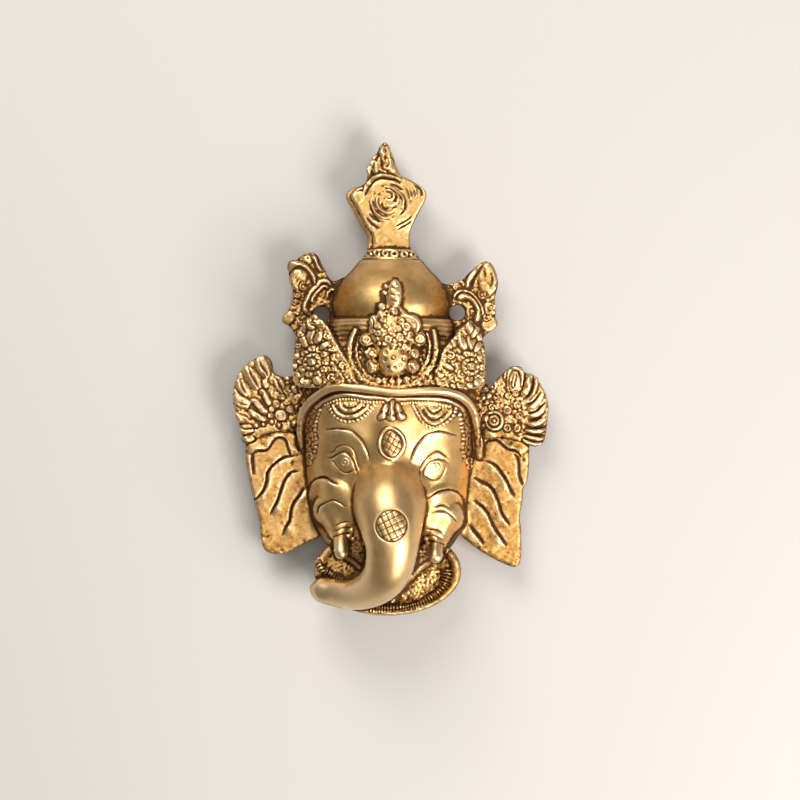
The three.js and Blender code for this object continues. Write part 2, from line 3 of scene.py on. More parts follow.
import bpy
import numpy as np
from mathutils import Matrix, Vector


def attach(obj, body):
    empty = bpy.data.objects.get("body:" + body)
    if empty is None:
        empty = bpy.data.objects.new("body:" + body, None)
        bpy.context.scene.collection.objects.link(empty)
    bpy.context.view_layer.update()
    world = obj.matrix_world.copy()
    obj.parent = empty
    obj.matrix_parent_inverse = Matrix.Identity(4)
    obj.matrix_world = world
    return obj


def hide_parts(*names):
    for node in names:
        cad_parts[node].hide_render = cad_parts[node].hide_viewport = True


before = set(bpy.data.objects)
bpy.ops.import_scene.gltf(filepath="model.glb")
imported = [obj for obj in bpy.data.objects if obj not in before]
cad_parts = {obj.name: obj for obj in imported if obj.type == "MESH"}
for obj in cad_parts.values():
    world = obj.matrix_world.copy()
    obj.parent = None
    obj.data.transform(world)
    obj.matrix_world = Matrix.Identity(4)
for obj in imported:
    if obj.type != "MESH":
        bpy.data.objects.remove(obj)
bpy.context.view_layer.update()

# The table, the light and the camera.
# The mask lies on its back on a pale table, and the camera looks straight down on it from 1.35 m. Two soft
# boxes, low on the right and beyond the crown, throw the shadows up to the left and down to the chin.
MM = 0.001  # everything below is in millimetres, and this takes it to metres


def in_metres(x, y, z):
    return (x * MM, y * MM, z * MM)


bpy.ops.object.select_all(action="DESELECT")
bpy.ops.object.camera_add(location=in_metres(3.9, -8.6, 1350), rotation=(0, 0, 0))
camera = bpy.context.object
camera.data.lens = 150
camera.data.sensor_width = 36
bpy.context.scene.camera = camera

bpy.ops.mesh.primitive_plane_add(size=4, location=(0, 0, 0))
table = bpy.context.object
table.name = "table"
paper = bpy.data.materials.new("pale_table")
paper.use_nodes = True
paper.node_tree.nodes["Principled BSDF"].inputs["Base Color"].default_value = (0.46, 0.44, 0.415, 1)
paper.node_tree.nodes["Principled BSDF"].inputs["Roughness"].default_value = 0.9
table.data.materials.append(paper)


def softbox(name, place, size, power, colour):
    """A square lamp that looks at the middle of the mask."""
    aim = Vector(in_metres(0, -10, 20)) - Vector(in_metres(*place))
    bpy.ops.object.light_add(type="AREA", location=in_metres(*place))
    lamp = bpy.context.object
    lamp.name = name
    lamp.rotation_euler = aim.to_track_quat("-Z", "Y").to_euler()
    lamp.data.size = size * MM
    lamp.data.energy = power
    lamp.data.color = colour


softbox("key_low_right", (560, -420, 640), 520, 12, (1, 0.97, 0.93))
softbox("beyond_the_crown", (-240, 700, 700), 600, 9, (1, 0.98, 0.95))
softbox("overhead", (0, -10, 2300), 1500, 13, (1, 0.98, 0.95))

world = bpy.data.worlds.new("studio")
bpy.context.scene.world = world
world.use_nodes = True
world.node_tree.nodes["Background"].inputs["Color"].default_value = (1, 0.98, 0.96, 1)
world.node_tree.nodes["Background"].inputs["Strength"].default_value = 0.27
bpy.context.scene.view_settings.view_transform = "Standard"

# The head.
# The elephant's face was modelled in wax over a clay core, as one arched shell from the pointed upper lip to
# the foot of the crown. The forms of the wax are closed skins here, and are fused when all are laid.
wax = []  # points and triangles of each form


def distances(line):
    """How far along a line each of its points lies."""
    return np.concatenate([[0], np.cumsum(np.linalg.norm(np.diff(line, axis=0), axis=1))])


def headings(line):
    """Which way a line runs at each of its points."""
    ahead = np.gradient(line, axis=0)
    return ahead / np.linalg.norm(ahead, axis=1)[:, None]


def smooth_line(points, step):
    """Evenly spaced points on a smooth line through a few given ones."""
    p = np.array(points, float)
    p = np.vstack([2 * p[0] - p[1], p, 2 * p[-1] - p[-2]])
    t = np.linspace(0, 1, 24, endpoint=False)[:, None]
    spans = [
        b + 0.5 * ((c - a) * t + (2 * a - 5 * b + 4 * c - d) * t**2 + (3 * b - a - 3 * c + d) * t**3)
        for a, b, c, d in zip(p, p[1:], p[2:], p[3:])
    ]
    line = np.vstack([*spans, p[-2:-1]])
    reach = distances(line)
    at = np.linspace(0, reach[-1], max(3, round(reach[-1] / step) + 1))
    return np.column_stack([np.interp(at, reach, column) for column in line.T])


def skin(rings):
    """A closed skin over rings of points, with a fan over each end."""
    rings = np.asarray(rings, float)
    count, around = rings.shape[:2]
    i, j = np.mgrid[0 : count - 1, 0:around]
    a, b = i * around + j, i * around + (j + 1) % around
    walls = np.stack([a, b, b + around, a, b + around, a + around], -1).reshape(-1, 3)
    j = np.arange(around)
    k = (j + 1) % around
    low, high = count * around, count * around + 1
    last = (count - 1) * around
    ends = [np.column_stack([j * 0 + low, k, j]), np.column_stack([j * 0 + high, last + j, last + k])]
    points = np.vstack([rings.reshape(-1, 3), rings[0].mean(0), rings[-1].mean(0)])
    wax.append((points, np.vstack([walls, *ends])))


def hill(x, y, middle, size, turn=0.0):
    """A soft rise of height 1 round a middle, that fades out at about its size."""
    u, v = x - middle[0], y - middle[1]
    c, s = math.cos(turn), math.sin(turn)
    return np.exp(-(((c * u + s * v) / size[0]) ** 2) - ((c * v - s * u) / size[1]) ** 2)


BELOW = 3  # how far the wax runs on under the back plane, before the back is cut flat
# Stations of the face: y, the middle's x, half width, height and fullness of the arch.
HEAD = [
    (-89.5, 0.8, 1.6, 19, 3), (-84, 0.7, 5.6, 20.6, 3.4), (-79, 0.5, 11, 22.6, 3.4),
    (-73, 0, 18.6, 26.6, 3.2), (-67, -0.2, 25.4, 30.6, 2.9), (-58, -0.6, 30.6, 33.5, 2.6),
    (-46, -1, 32.6, 35.5, 2.7), (-28, -0.8, 34.3, 38, 2.8), (-14, -0.2, 35.6, 40, 2.8),
    (-2, 0, 34.4, 39.5, 2.8), (12, 0, 31, 36.5, 2.9), (15.5, 0, 27.5, 32, 2.9),
]
EYES = [(-18, -33.8), (17.8, -35.2)]
CHEEKS = [(-23.8, -51.6, 11.4, 12.2), (22.4, -53.4, 11, 11.8)]  # x, y and radii


def face_forms(x, y):
    """What rises and sinks on the face: the bridge of the nose, the brows, the eyes and the cheeks."""
    rise = 2.4 * hill(x, y, (0.7, -20), (5.4, 9)) + 3.2 * hill(x, y, (0.3, -33), (6.2, 9))
    rise += 2.8 * hill(x, y, (0.2, -41), (12, 8))
    for side, (eye_x, eye_y) in zip((-1, 1), EYES):
        rise += 1.1 * hill(x, y, (side * 18, -23), (9, 4.4), side * 0.25)
        rise -= 1.5 * hill(x, y, (side * 11.2, eye_y - 4.2), (3.6, 6), side * 0.3)
        rise -= 0.8 * hill(x, y, (eye_x, eye_y), (10, 6))
        ball = 1 - ((x - eye_x) / 5.4) ** 2 - ((y - eye_y) / 3.9) ** 2
        rise += 1.2 * np.sqrt(np.clip(ball, 0, 1))
    for cheek_x, cheek_y, across, up in CHEEKS:
        rise += 3.8 * np.clip(1 - ((x - cheek_x) / across) ** 2 - ((y - cheek_y) / up) ** 2, 0, 1) ** 0.72
    return rise


def arches(stations, forms):
    """Arches over the stations, with forms on them, down to a flat underside."""
    turns = np.linspace(0, math.pi, 600)
    c, s = np.cos(turns), np.abs(np.sin(turns))
    rings = []
    for y, middle, half, height, fullness in smooth_line(stations, 0.6):
        across = middle + np.sign(c) * np.abs(c) ** (2 / fullness) * half
        arch = np.column_stack([across, height * s ** (2 / fullness)])
        reach = distances(arch)
        x, z = (np.interp(np.linspace(0, reach[-1], 190), reach, column) for column in arch.T)
        z = z + forms(x, y) * np.clip(z / height * 3 - 1.4, 0, 1)  # none at the foot of the arch
        feet = (middle - half, y, -BELOW), (middle + half, y, -BELOW)
        rings.append([*np.column_stack([x, x * 0 + y, z]), *feet])
    skin(rings)


def ball_model():
    """The small round model that every lump is pressed from."""
    bpy.ops.object.select_all(action="DESELECT")
    bpy.ops.mesh.primitive_uv_sphere_add(segments=24, ring_count=14, radius=1)
    return taken(bpy.context.object)


def taken(piece):
    """The points and triangles of a piece, which goes back in the box."""
    mesh = piece.data
    mesh.calc_loop_triangles()
    points = np.empty(len(mesh.vertices) * 3)
    faces = np.empty(len(mesh.loop_triangles) * 3, np.int32)
    mesh.vertices.foreach_get("co", points)
    mesh.loop_triangles.foreach_get("vertices", faces)
    bpy.data.objects.remove(piece)
    return points.reshape(-1, 3), faces.reshape(-1, 3)


ball_points, ball_faces = ball_model()


def egg(place, radii, turn=0.0):
    """A lump pressed from the model, and turned."""
    c, s = math.cos(turn), math.sin(turn)
    points = ball_points * radii @ np.array([[c, s, 0], [-s, c, 0], [0, 0, 1]])
    wax.append((points + place, ball_faces))


arches(HEAD, face_forms)


# The trunk and tusks.
# The trunk comes out from between the eyes, swells, and hangs over the mouth with its tip turned to the left.
# Two short tusks come out of rolled gums beside it. All was modelled with the face and cast with it.
def round_about(sides):
    """The cosines and sines of even steps round a circle."""
    turns = np.linspace(0, 2 * math.pi, sides, endpoint=False)
    return np.cos(turns), np.sin(turns)


def bar(path, radii, sides=14):
    """A round bar along points, with round ends. Its radii are spread evenly over its length."""
    path = np.asarray(path, float)
    reach = distances(path)
    radius = np.interp(reach / reach[-1], np.linspace(0, 1, len(radii)), radii)
    to_end = np.minimum(np.minimum(reach, reach[-1] - reach) / radius, 1)
    radius = radius * np.sqrt(np.clip(1 - (1 - to_end) ** 2, 0.01, 1))
    along = headings(path)
    side = np.cross((0, 0, 1), along)
    side /= np.linalg.norm(side, axis=1)[:, None]
    up = np.cross(along, side)
    c, s = round_about(sides)
    across = side[:, None] * c[:, None] + up[:, None] * s[:, None]
    skin(path[:, None] + radius[:, None, None] * across)


# The trunk's middle line and its radius there.
TRUNK = [
    (-1, -33, 21, 9), (-0.8, -42, 30, 13), (-0.2, -50, 38.2, 14.4), (0.5, -59, 44.2, 12.1),
    (0.6, -68, 45.5, 10.1), (-1.4, -76.5, 43, 9.1), (-7, -82.8, 37, 7.5), (-14.5, -85.8, 30.5, 6),
    (-22, -85.2, 25, 5.3), (-27.4, -84.2, 22.4, 5), (-30.6, -83.7, 21.4, 4.2), (-32, -83.5, 21, 2.2),
]
TUSKS = [(-19.2, -61.4, -1, 9.8), (17.9, -64.4, 1, 8.2)]  # x and y of the root, the side and the length
# How far outward and up a lump of the gum lies from a tusk's root, and its size.
GUM_LUMPS = [(-2.9, 0.6, 1.5), (-3.9, 2.6, 1.3), (2.6, 0.4, 1.4), (3.9, 2, 1.6), (-4.6, -0.6, 1.1)]


def trunk():
    line = smooth_line(TRUNK, 0.6)
    bar(line[:, :3], line[:, 3], sides=96)
    egg((0.2, -37, 31), (10, 13, 9.4))  # the bridge runs on over its root


def tusks():
    for x, y, side, length in TUSKS:
        tooth = [(x + side * 0.9, y + 1, 31), (x - side * 0.2, y - length, 37.2)]
        bar(smooth_line(tooth, 0.4), [2.2, 2.6, 2.8, 2.3], sides=28)
        gum = [(x + side * 5.4, y + 14, 20), (x + side * 3, y + 7, 26), (x, y - 2.8, 32.2)]
        bar(smooth_line(gum, 0.5), [9.4, 8.2, 5.6, 2.9], sides=40)  # the cheek narrows to it
        for over, up, size in GUM_LUMPS:
            egg((x + side * over, y + up - 1.6, 30.8), (size, size * 0.8, size * 1.3), turn=side * over * 0.2)


trunk()
tusks()

# The lower jaw.
# An oval dish with a rolled lip, which stands out under the trunk. Its floor was left rough, as it came from
# the mould.
JAW_MIDDLE, JAW_RADII = (-1, -77.2), (29.4, 17.8)
LIP_TOP, FLOOR_TOP = 17.5, 14


def dish(profile, across, up):
    """An oval dish round the jaw's middle, from shares of its radii and heights."""
    c, s = round_about(180)
    around = np.column_stack([across * c, up * s, c * 0])
    skin([around * (share, share, 0) + (*JAW_MIDDLE, z) for share, z in profile])


def jaw():
    # The rolled lip's shares of the radii, and how far each is below its top.
    rolled = [(0.86, -2), (0.89, -0.6), (0.925, 0), (0.96, -0.1), (0.99, -1), (1, -3)]
    rolled = smooth_line([(share * 20, LIP_TOP + drop) for share, drop in rolled], 0.4) / (20, 1)
    floor = [(0.68, FLOOR_TOP), (0.4, FLOOR_TOP + 1), (0.1, FLOOR_TOP + 2)]
    inner = [(0.8, LIP_TOP - 2.4), (0.74, LIP_TOP - 3), *floor]
    dish([(0.95, -BELOW), (0.97, 6), *rolled[::-1], *inner], *JAW_RADII)


jaw()

# The crown: drum, dome and neck.
# Turned round an axis that runs up the mask, and hollow behind. The dome was scraped smooth. The drum
# under it keeps close rows of grain.
CROWN_X, CROWN_Z = 0.3, 12
DRUM = [(24.6, 6), (24.8, 12), (25, 17), (25, 20.6), (24.4, 23), (23.1, 23.9), (22.9, 24.6)]
DOME = [(22.9, 24.6), (23.7, 29.2), (22.6, 34.6), (19.6, 39.4), (15.8, 43.4), (12.6, 47.2)]
NECK = [(12.6, 47.2), (11.6, 47.7), (11.3, 48.3), (10.2, 50.2), (9.3, 51.5), (6.4, 51.9), (3.6, 54)]


def lathe(profile):
    """A form turned about the crown's axis, from radii and places along it."""
    c, s = round_about(180)
    skin([np.column_stack([CROWN_X + radius * c, c * 0 + y, CROWN_Z + radius * s]) for radius, y in profile])


def crown():
    drum = smooth_line(DRUM, 0.2)
    drum[:, 0] += 0.2 * np.sin(drum[:, 1] * 2 * math.pi / 1.9)  # rows 1.9 mm apart
    lathe(np.vstack([drum, smooth_line(DOME, 0.6)[1:], smooth_line(NECK, 0.4)[1:]]))


crown()


# The ears, fans, flanges and finial.
# Flat castings that stand out from the head and the crown, 4 to 8 mm thick. Their edges were filed round.
def new_piece(name, corners, sides):
    """A piece from its points and faces."""
    mesh = bpy.data.meshes.new(name)
    mesh.from_pydata(corners, [], sides)
    piece = bpy.data.objects.new(name, mesh)
    bpy.context.collection.objects.link(piece)
    return piece


def pick(piece):
    """Selects a piece alone."""
    bpy.ops.object.select_all(action="DESELECT")
    piece.select_set(True)
    bpy.context.view_layer.objects.active = piece


def modify(piece, kind, **settings):
    """Gives a piece a modifier and applies it."""
    modifier = piece.modifiers.new(kind, kind)
    for name, value in settings.items():
        setattr(modifier, name, value)
    pick(piece)
    bpy.ops.object.modifier_apply(modifier=modifier.name)


def cut(piece, tool):
    """Cuts a piece with a tool, which goes back in the box."""
    modify(piece, "BOOLEAN", object=tool, operation="DIFFERENCE", solver="MANIFOLD")
    bpy.data.objects.remove(tool)


def slab(outline, front, thick, ease, holes=()):
    """A flat casting with eased edges and holes, its front at the given height."""
    piece = new_piece("slab", [(x, y, front) for x, y in outline], [range(len(outline))])
    faces_front = piece.data.polygons[0].normal.z > 0
    modify(piece, "SOLIDIFY", thickness=thick, offset=-1 if faces_front else 1)
    for x, y, radius in holes:
        bpy.ops.object.select_all(action="DESELECT")
        bpy.ops.mesh.primitive_cylinder_add(vertices=48, radius=radius, depth=60, location=(x, y, front))
        cut(piece, bpy.context.object)
    edges = {"limit_method": "ANGLE", "angle_limit": 1, "use_clamp_overlap": False}
    modify(piece, "BEVEL", width=ease, segments=3, **edges)
    return taken(piece)


LEFT_EAR = [
    (-36, -24), (-40.6, -19.2), (-44.4, -18.2), (-50, -19.4), (-55.4, -22.6), (-57.8, -27), (-58.2, -31),
    (-57.2, -38), (-54.8, -49), (-52.6, -56.6), (-52, -63.6), (-50.4, -68.8), (-46.4, -70.4), (-41.8, -70),
    (-37.2, -67.8), (-32.6, -65.4), (-28.6, -63.4), (-28, -56), (-28, -40),
]
RIGHT_EAR = [
    (34, -24.6), (37.8, -22), (42.4, -20.4), (47.4, -21), (52, -23.8), (55.4, -26.8), (55.8, -32),
    (55.2, -40.4), (53.4, -44.4), (53.2, -49), (52, -55.4), (52.6, -61.4), (52.4, -72.6), (50.2, -75.6),
    (46.2, -74.6), (40.2, -71.6), (35.4, -68.6), (31.8, -65.6), (28, -61.6), (27, -50), (27, -36),
]
LEFT_FAN = [
    (-33, 4), (-38.6, 1.6), (-41.8, 0.4), (-46.6, 2.4), (-47.2, 5.6), (-48.6, 8.4), (-50.8, 9.4),
    (-54.6, 7.8), (-58.4, 4.8), (-61.4, 0.8), (-63, -4.2), (-63.2, -9), (-61.8, -14.8), (-59.8, -20.6),
    (-58.2, -25.6), (-54, -24), (-48, -21), (-40, -21), (-32, -24),
]
RIGHT_FAN = [
    (32, -2), (38.4, -2.2), (40.8, -3), (43.8, 0.8), (46.6, 3.2), (49.2, 4.8), (52.2, 4.8), (54.4, 2.2),
    (56.8, 2), (59.2, -0.6), (62.2, -5.8), (63.4, -10), (63.4, -14), (62.8, -19), (61.8, -24.8),
    (60.2, -26.4), (57, -26.8), (54.6, -26), (50, -24), (42, -23), (33, -25),
]
LEFT_FLANGE = [
    (-18, 41), (-23.3, 39.2), (-26.6, 44.2), (-29.6, 49.8), (-33.2, 50.4), (-37.6, 47.6), (-40.8, 42.6),
    (-39.4, 37.6), (-39.2, 33.6), (-40.6, 28), (-43.2, 23.6), (-40.2, 20.6), (-34, 14), (-20, 12),
]
RIGHT_FLANGE = [
    (18, 39.6), (23.6, 37.6), (28.6, 39.4), (32.4, 43.2), (38, 47), (41.4, 44.4), (43.2, 38.4), (42, 32),
    (42.2, 24.6), (42.6, 21.4), (37.6, 16.8), (34, 12), (20, 12),
]
FINIAL = [
    (-9.4, 50), (-9.2, 56.8), (-11.8, 61.2), (-15, 67.2), (-17.6, 72), (-17.6, 74.2), (-14.6, 76.4),
    (-11.6, 77.2), (-9.6, 79), (-8.8, 83.6), (-7.6, 87.4), (-5.6, 90), (-3.8, 93.2), (-2.2, 94.8),
    (-0.6, 93.4), (1, 89.2), (3.8, 81.8), (7.8, 79.6), (12, 77), (14.2, 74.8), (14.2, 71.8), (12.2, 68),
    (8.4, 60.2), (7.8, 56), (8.4, 50),
]
EAR_FRONT, FAN_FRONT, FLANGE_FRONT, FINIAL_FRONT = 12, 13.5, 14, 17
LEFT_HOLE, RIGHT_HOLE = (-27.7, 25.6, 3.4), (26.8, 26.4, 3.2)  # x, y and radius
# The finial's front was filed back from its left edge and its tip.
FILED = [(x + min(2.2, max(0, -x * 0.3)), y - 0.01 * max(0, y - 84) ** 2) for x, y in FINIAL]
for outline, front, thick, ease, holes in [
    (LEFT_EAR, EAR_FRONT, 4, 1.3, ()),
    (RIGHT_EAR, EAR_FRONT, 4, 1.3, ()),
    (LEFT_FAN, FAN_FRONT, 4.2, 1.2, ()),
    (RIGHT_FAN, FAN_FRONT, 4.2, 1.2, ()),
    (LEFT_FLANGE, FLANGE_FRONT, 5, 1.2, (LEFT_HOLE,)),
    (RIGHT_FLANGE, FLANGE_FRONT, 5, 1.2, (RIGHT_HOLE,)),
    (FINIAL, FINIAL_FRONT - 1.6, 6.4, 1.2, ()),
    (FILED, FINIAL_FRONT, 4, 1.1, ()),
]:
    wax.append(slab(smooth_line(outline, 0.9), front, thick, ease, holes))

# The crests' plates.
# A pear-shaped crest stands in front of the dome inside a horseshoe of two rolls, and a leaf stands at each
# side of it and turns outward. They were modelled apart and stuck to the wax crown.
CREST_X, CREST_FRONT = 1.1, 42
SIDE_FRONT = 39.5  # the side crests' front where it is highest, 12 mm out
# Shares of a side crest's outline, and how far each lies behind its front.
SOFT_EDGE = [(1, 1), (0.975, 0.35), (0.93, 0), (0.7, 0), (0.35, 0)]
CREST = [
    (0, 36), (2, 35), (2.8, 33), (2.6, 29), (5, 26), (7.8, 23.4), (9.4, 19.4), (9, 15.4), (7.2, 12),
    (6.2, 9), (5.8, 5), (4, 1.6), (0, 0.4),
]
LEFT_CREST = [
    (-29.8, 25), (-32.8, 23.6), (-35.4, 20.4), (-37.2, 16.4), (-38.2, 9.4), (-38.6, 3), (-38, -2),
    (-34, -3.6), (-28, -4), (-20, -3.4), (-14.6, -2.4), (-13.6, 0.4), (-16.6, 6.4), (-19.6, 11.4),
    (-22.2, 16), (-25.4, 21.4),
]
RIGHT_CREST = [
    (32.2, 22.8), (30.4, 22.2), (28.4, 20.2), (24.6, 15.6), (21, 11), (19.2, 6), (17.4, 0.4), (18.6, -3),
    (24, -4.4), (31, -4.4), (36.6, -3.4), (37.8, 0), (38, 5.8), (37.6, 12), (36.2, 16.4), (34.4, 20),
]
HORSESHOE = [
    (-13.2, 19.7), (-15.1, 15.9), (-16, 11.2), (-15.4, 6.5), (-13.5, 2.7), (-10.3, -0.4), (-5.6, -2.9),
    (1.2, -4), (8.5, -2.6), (13.2, 1.2), (16.4, 4.9), (17.9, 9.6), (17.9, 14.3), (17, 19.4),
]
INNER_SHOE = [
    (-12, 16.9), (-13.3, 11.2), (-12.5, 6.5), (-10.3, 2.7), (-7.2, 0), (1.2, -1.6), (9.4, 0.6), (12.9, 4),
    (15.1, 8.1), (15.6, 12.8), (14.5, 17.8),
]


def mirrored(half):
    """A whole outline from its right half."""
    half = smooth_line(half, 0.9)
    return np.vstack([half, half[-2:0:-1] * (-1, 1)])


def leaf(outline, middle, thick):
    """A plate with a soft edge, whose front falls back towards the sides of the crown."""
    rings = []
    for share, drop in [(0.9, thick), (1, thick - 1), *SOFT_EDGE]:
        edge = np.array(middle) + share * (smooth_line([*outline, outline[0]], 0.8)[:-1] - middle)
        front = SIDE_FRONT - 0.018 * (np.abs(edge[:, 0]) - 12) ** 2
        rings.append(np.column_stack([edge, front - drop]))
    skin(rings)


def crest_plates():
    wax.append(slab(mirrored(CREST) + (CREST_X, 0), CREST_FRONT, 10, 1.4))
    leaf(LEFT_CREST, (-28, 7), 8)
    leaf(RIGHT_CREST, (28.6, 6), 8)
    for shoe, height, radii in [
        (HORSESHOE, 39.6, [0.8, 1.1, 1.2, 1.1, 0.8]),
        (INNER_SHOE, 39, [0.5, 0.7, 0.7, 0.5]),
    ]:
        bar([(x, y, height - 0.008 * (x - CREST_X) ** 2) for x, y in smooth_line(shoe, 0.4)], radii)


crest_plates()

# The lumps of the central crest.
# A wrinkled bud on top, curled leaves at its shoulders, a bunch of round lumps, a ball at each side, and a
# smooth round foot. Each was rolled between the fingers and pressed on.
LUMPS = [  # x, y, the radii across and up, and how far the middle stands behind the crest's front
    (1.9, 33, 2.7, 5.8, 0.2), (-1.6, 36, 0.9, 1, 0.8), (-2.3, 33.5, 0.9, 1, 0.8), (1.3, 26, 1.9, 2, -0.8),
    (-3.1, 28, 1.5, 1.6, 0.2), (-3.4, 25, 1.7, 1.8, 0), (-6.3, 21.9, 1.8, 3, 0.4),
    (-0.3, 23.1, 1.9, 1.9, -0.4), (3.5, 22.5, 1.9, 1.9, -0.4), (-4, 20, 2, 2, -0.2),
    (6.3, 20, 1.9, 1.9, -0.2), (8.5, 15, 1.7, 1.7, 0.6), (-5.9, 15.9, 1.6, 1.6, 0.4),
    (6.9, 12.1, 1.3, 1.3, 0), (-9.2, 15, 2.8, 2.6, 1.6), (11.4, 15.3, 2.7, 2.9, 1.6),
    (-7.2, 9.8, 2.8, 2.5, 1.4), (-6.8, 4.8, 2.7, 2.8, 1.4), (9, 9.6, 2.6, 2.4, 1.4),
    (8.6, 4.6, 2.9, 2.6, 1.4), (1.1, 17.8, 7.6, 7, -0.2), (1.3, 7.7, 5.8, 6.7, 0.2),
    (-4.7, -0.8, 1.2, 1.5, 2), (-2.2, -1, 1.1, 1.5, 2), (0.7, -1.2, 1.2, 1.5, 2), (3.5, -1, 1.2, 1.5, 2),
    (6.3, -0.6, 1.4, 1.5, 2),
]
RIBBONS = [
    [(3.8, 27.2), (5, 25), (7.2, 23.9), (10, 23.1), (11, 20.6), (10, 17.8)],
    [(4.6, 23), (6.8, 22.2), (8.8, 21.2), (9.4, 19.4)],
]


def crest_lumps():
    for x, y, across, up, behind in LUMPS:
        egg((x, y, CREST_FRONT - behind), (across, up, min(across * 0.9, up, 3.2)))
    for ribbon in RIBBONS:
        bar([(x, y, CREST_FRONT + 0.1) for x, y in smooth_line(ribbon, 0.4)], [0.7, 1, 1.2, 1.1, 0.7])


crest_lumps()

# The headband.
# A round band that runs from temple to temple over the brow. It was rolled from wax between two boards and
# laid over the joint of head and crown.
BAND = [
    (-35.6, -28, 17), (-36, -20.5, 22), (-34.8, -13.8, 27), (-30.4, -8.2, 32.5), (-22.6, -3.8, 37.2),
    (-12.3, -3.9, 39.8), (2.2, -5.6, 40.8), (16.6, -5, 39.6), (26.4, -6.6, 36), (32.2, -11.6, 30),
    (34.6, -20, 23.5), (35.8, -32, 15),
]
bar(smooth_line(BAND, 0.5), [1.2, 1.6, 1.6, 1.6, 1.2], sides=28)

# The casting.
# The wax forms were warmed until they ran together in one skin. Then the wax was melted out of a clay mould,
# and brass was poured in.
GRAIN = 0.3  # the fineness of the fused skin


def piece_of(name, forms):
    """One mesh piece from closed forms."""
    starts = np.cumsum([0] + [len(points) for points, faces in forms])
    corners = np.vstack([points for points, faces in forms])
    sides = np.vstack([faces + start for (points, faces), start in zip(forms, starts)])
    return new_piece(name, corners.tolist(), sides.tolist())


def vectors(piece, kind):
    """Every point of a piece, or its normal there."""
    mesh = piece.data
    source, name = (mesh.vertices, "co") if kind == "points" else (mesh.vertex_normals, "vector")
    numbers = np.empty(len(source) * 3, np.float32)
    source.foreach_get(name, numbers)
    return numbers.reshape(-1, 3).astype(float)


def reshape(piece, places):
    """Moves every point of a piece."""
    piece.data.vertices.foreach_set("co", places.astype(np.float32).ravel())
    piece.data.update()


casting = piece_of("mask_casting", wax)
modify(casting, "REMESH", mode="VOXEL", voxel_size=GRAIN)
modify(casting, "SMOOTH", factor=0.5, iterations=2)
places, normals = vectors(casting, "points"), vectors(casting, "normals")

# The relief of the face.
# All the fine relief is one map of heights, as seen from the front, that is pressed into the skin of the
# casting at the end. Threads, beads and folds are laid on the map, and lines are cut in it.
CELL = 0.2  # the map's grain
ROWS, COLUMNS = 1000, 680
LOW = np.array((-68.0, -100.0))  # its lower left corner
map_y, map_x = (np.mgrid[0:ROWS, 0:COLUMNS] + 0.5) * CELL + LOW[::-1, None, None]
relief = np.zeros(map_x.shape)
coarse_map = np.zeros(map_x.shape)  # where the skin of the mould was left rough


def window(low, high):
    """The part of the map between two corners."""
    (x0, y0), (x1, y1) = (np.array((low, high)) - LOW) / CELL
    return slice(max(0, int(y0)), int(y1) + 2), slice(max(0, int(x0)), int(x1) + 2)


def inside(x, y, outline):
    """Which places lie within an outline."""
    within = np.zeros(np.shape(x), bool)
    for (ax, ay), (bx, by) in zip(outline, np.roll(outline, -1, axis=0)):
        crosses = (ay > y) != (by > y)
        within ^= crosses & (x < ax + (y - ay) * (bx - ax) / (by - ay + 1e-9))
    return within


def region(outline):
    """The part of the map round an outline, and which of its cells lie within."""
    outline = np.array(outline, float)
    part = window(outline.min(0), outline.max(0))
    return part, inside(map_x[part], map_y[part], outline)


def spread(field, breadth):
    """A field blurred over a breadth in millimetres."""
    fy, fx = np.fft.fftfreq(field.shape[0])[:, None], np.fft.rfftfreq(field.shape[1])[None]
    kernel = np.exp(-2 * (math.pi * breadth / CELL) ** 2 * (fx**2 + fy**2))
    return np.fft.irfft2(np.fft.rfft2(field) * kernel, s=field.shape)


def press(part, out, top, lift, peak, moat=0.35):
    """Presses a form on the map, with a narrow moat round it. out is how far a cell lies outside its edge."""
    now, floor = relief[part], lift * 0.4 - 0.15
    round_it = (out >= 0) & (out < moat) & (now < peak + 0.3)
    relief[part] = np.where(out < 0, np.maximum(now, top), np.where(round_it, np.minimum(now, floor), now))


def bead(x, y, across, height, up=None, turn=0.0, lift=0.0, power=0.5, moat=0.35):
    """A round or oval bead, on a step of height lift."""
    up = up or across
    reach = max(across, up) + moat
    part = window((x - reach, y - reach), (x + reach, y + reach))
    u, v = map_x[part] - x, map_y[part] - y
    c, s = math.cos(turn), math.sin(turn)
    share = ((c * u + s * v) / across) ** 2 + ((c * v - s * u) / up) ** 2
    top = lift + height * np.clip(1 - share, 0, 1) ** power
    press(part, (np.sqrt(share) - 1) * min(across, up), top, lift, lift + height, moat)


def ring(x, y, radius, height=0.6, lift=0.0, eye=0.34):
    """A small ring of thread with a bead in it."""
    reach = radius + 0.35
    part = window((x - reach, y - reach), (x + reach, y + reach))
    away = np.hypot(map_x[part] - x, map_y[part] - y)
    out = np.abs(away / radius - 0.74) / 0.26
    top = lift + height * np.sqrt(np.clip(1 - out**2, 0, 1))
    hollow = away < radius * 0.5
    relief[part] = np.where(hollow, np.minimum(relief[part], lift - 0.2), relief[part])
    press(part, np.where(hollow, 9, away - radius), top, lift, lift + height)
    if eye:
        bead(x, y, radius * eye, height * 0.8, lift=lift - 0.1, moat=0)


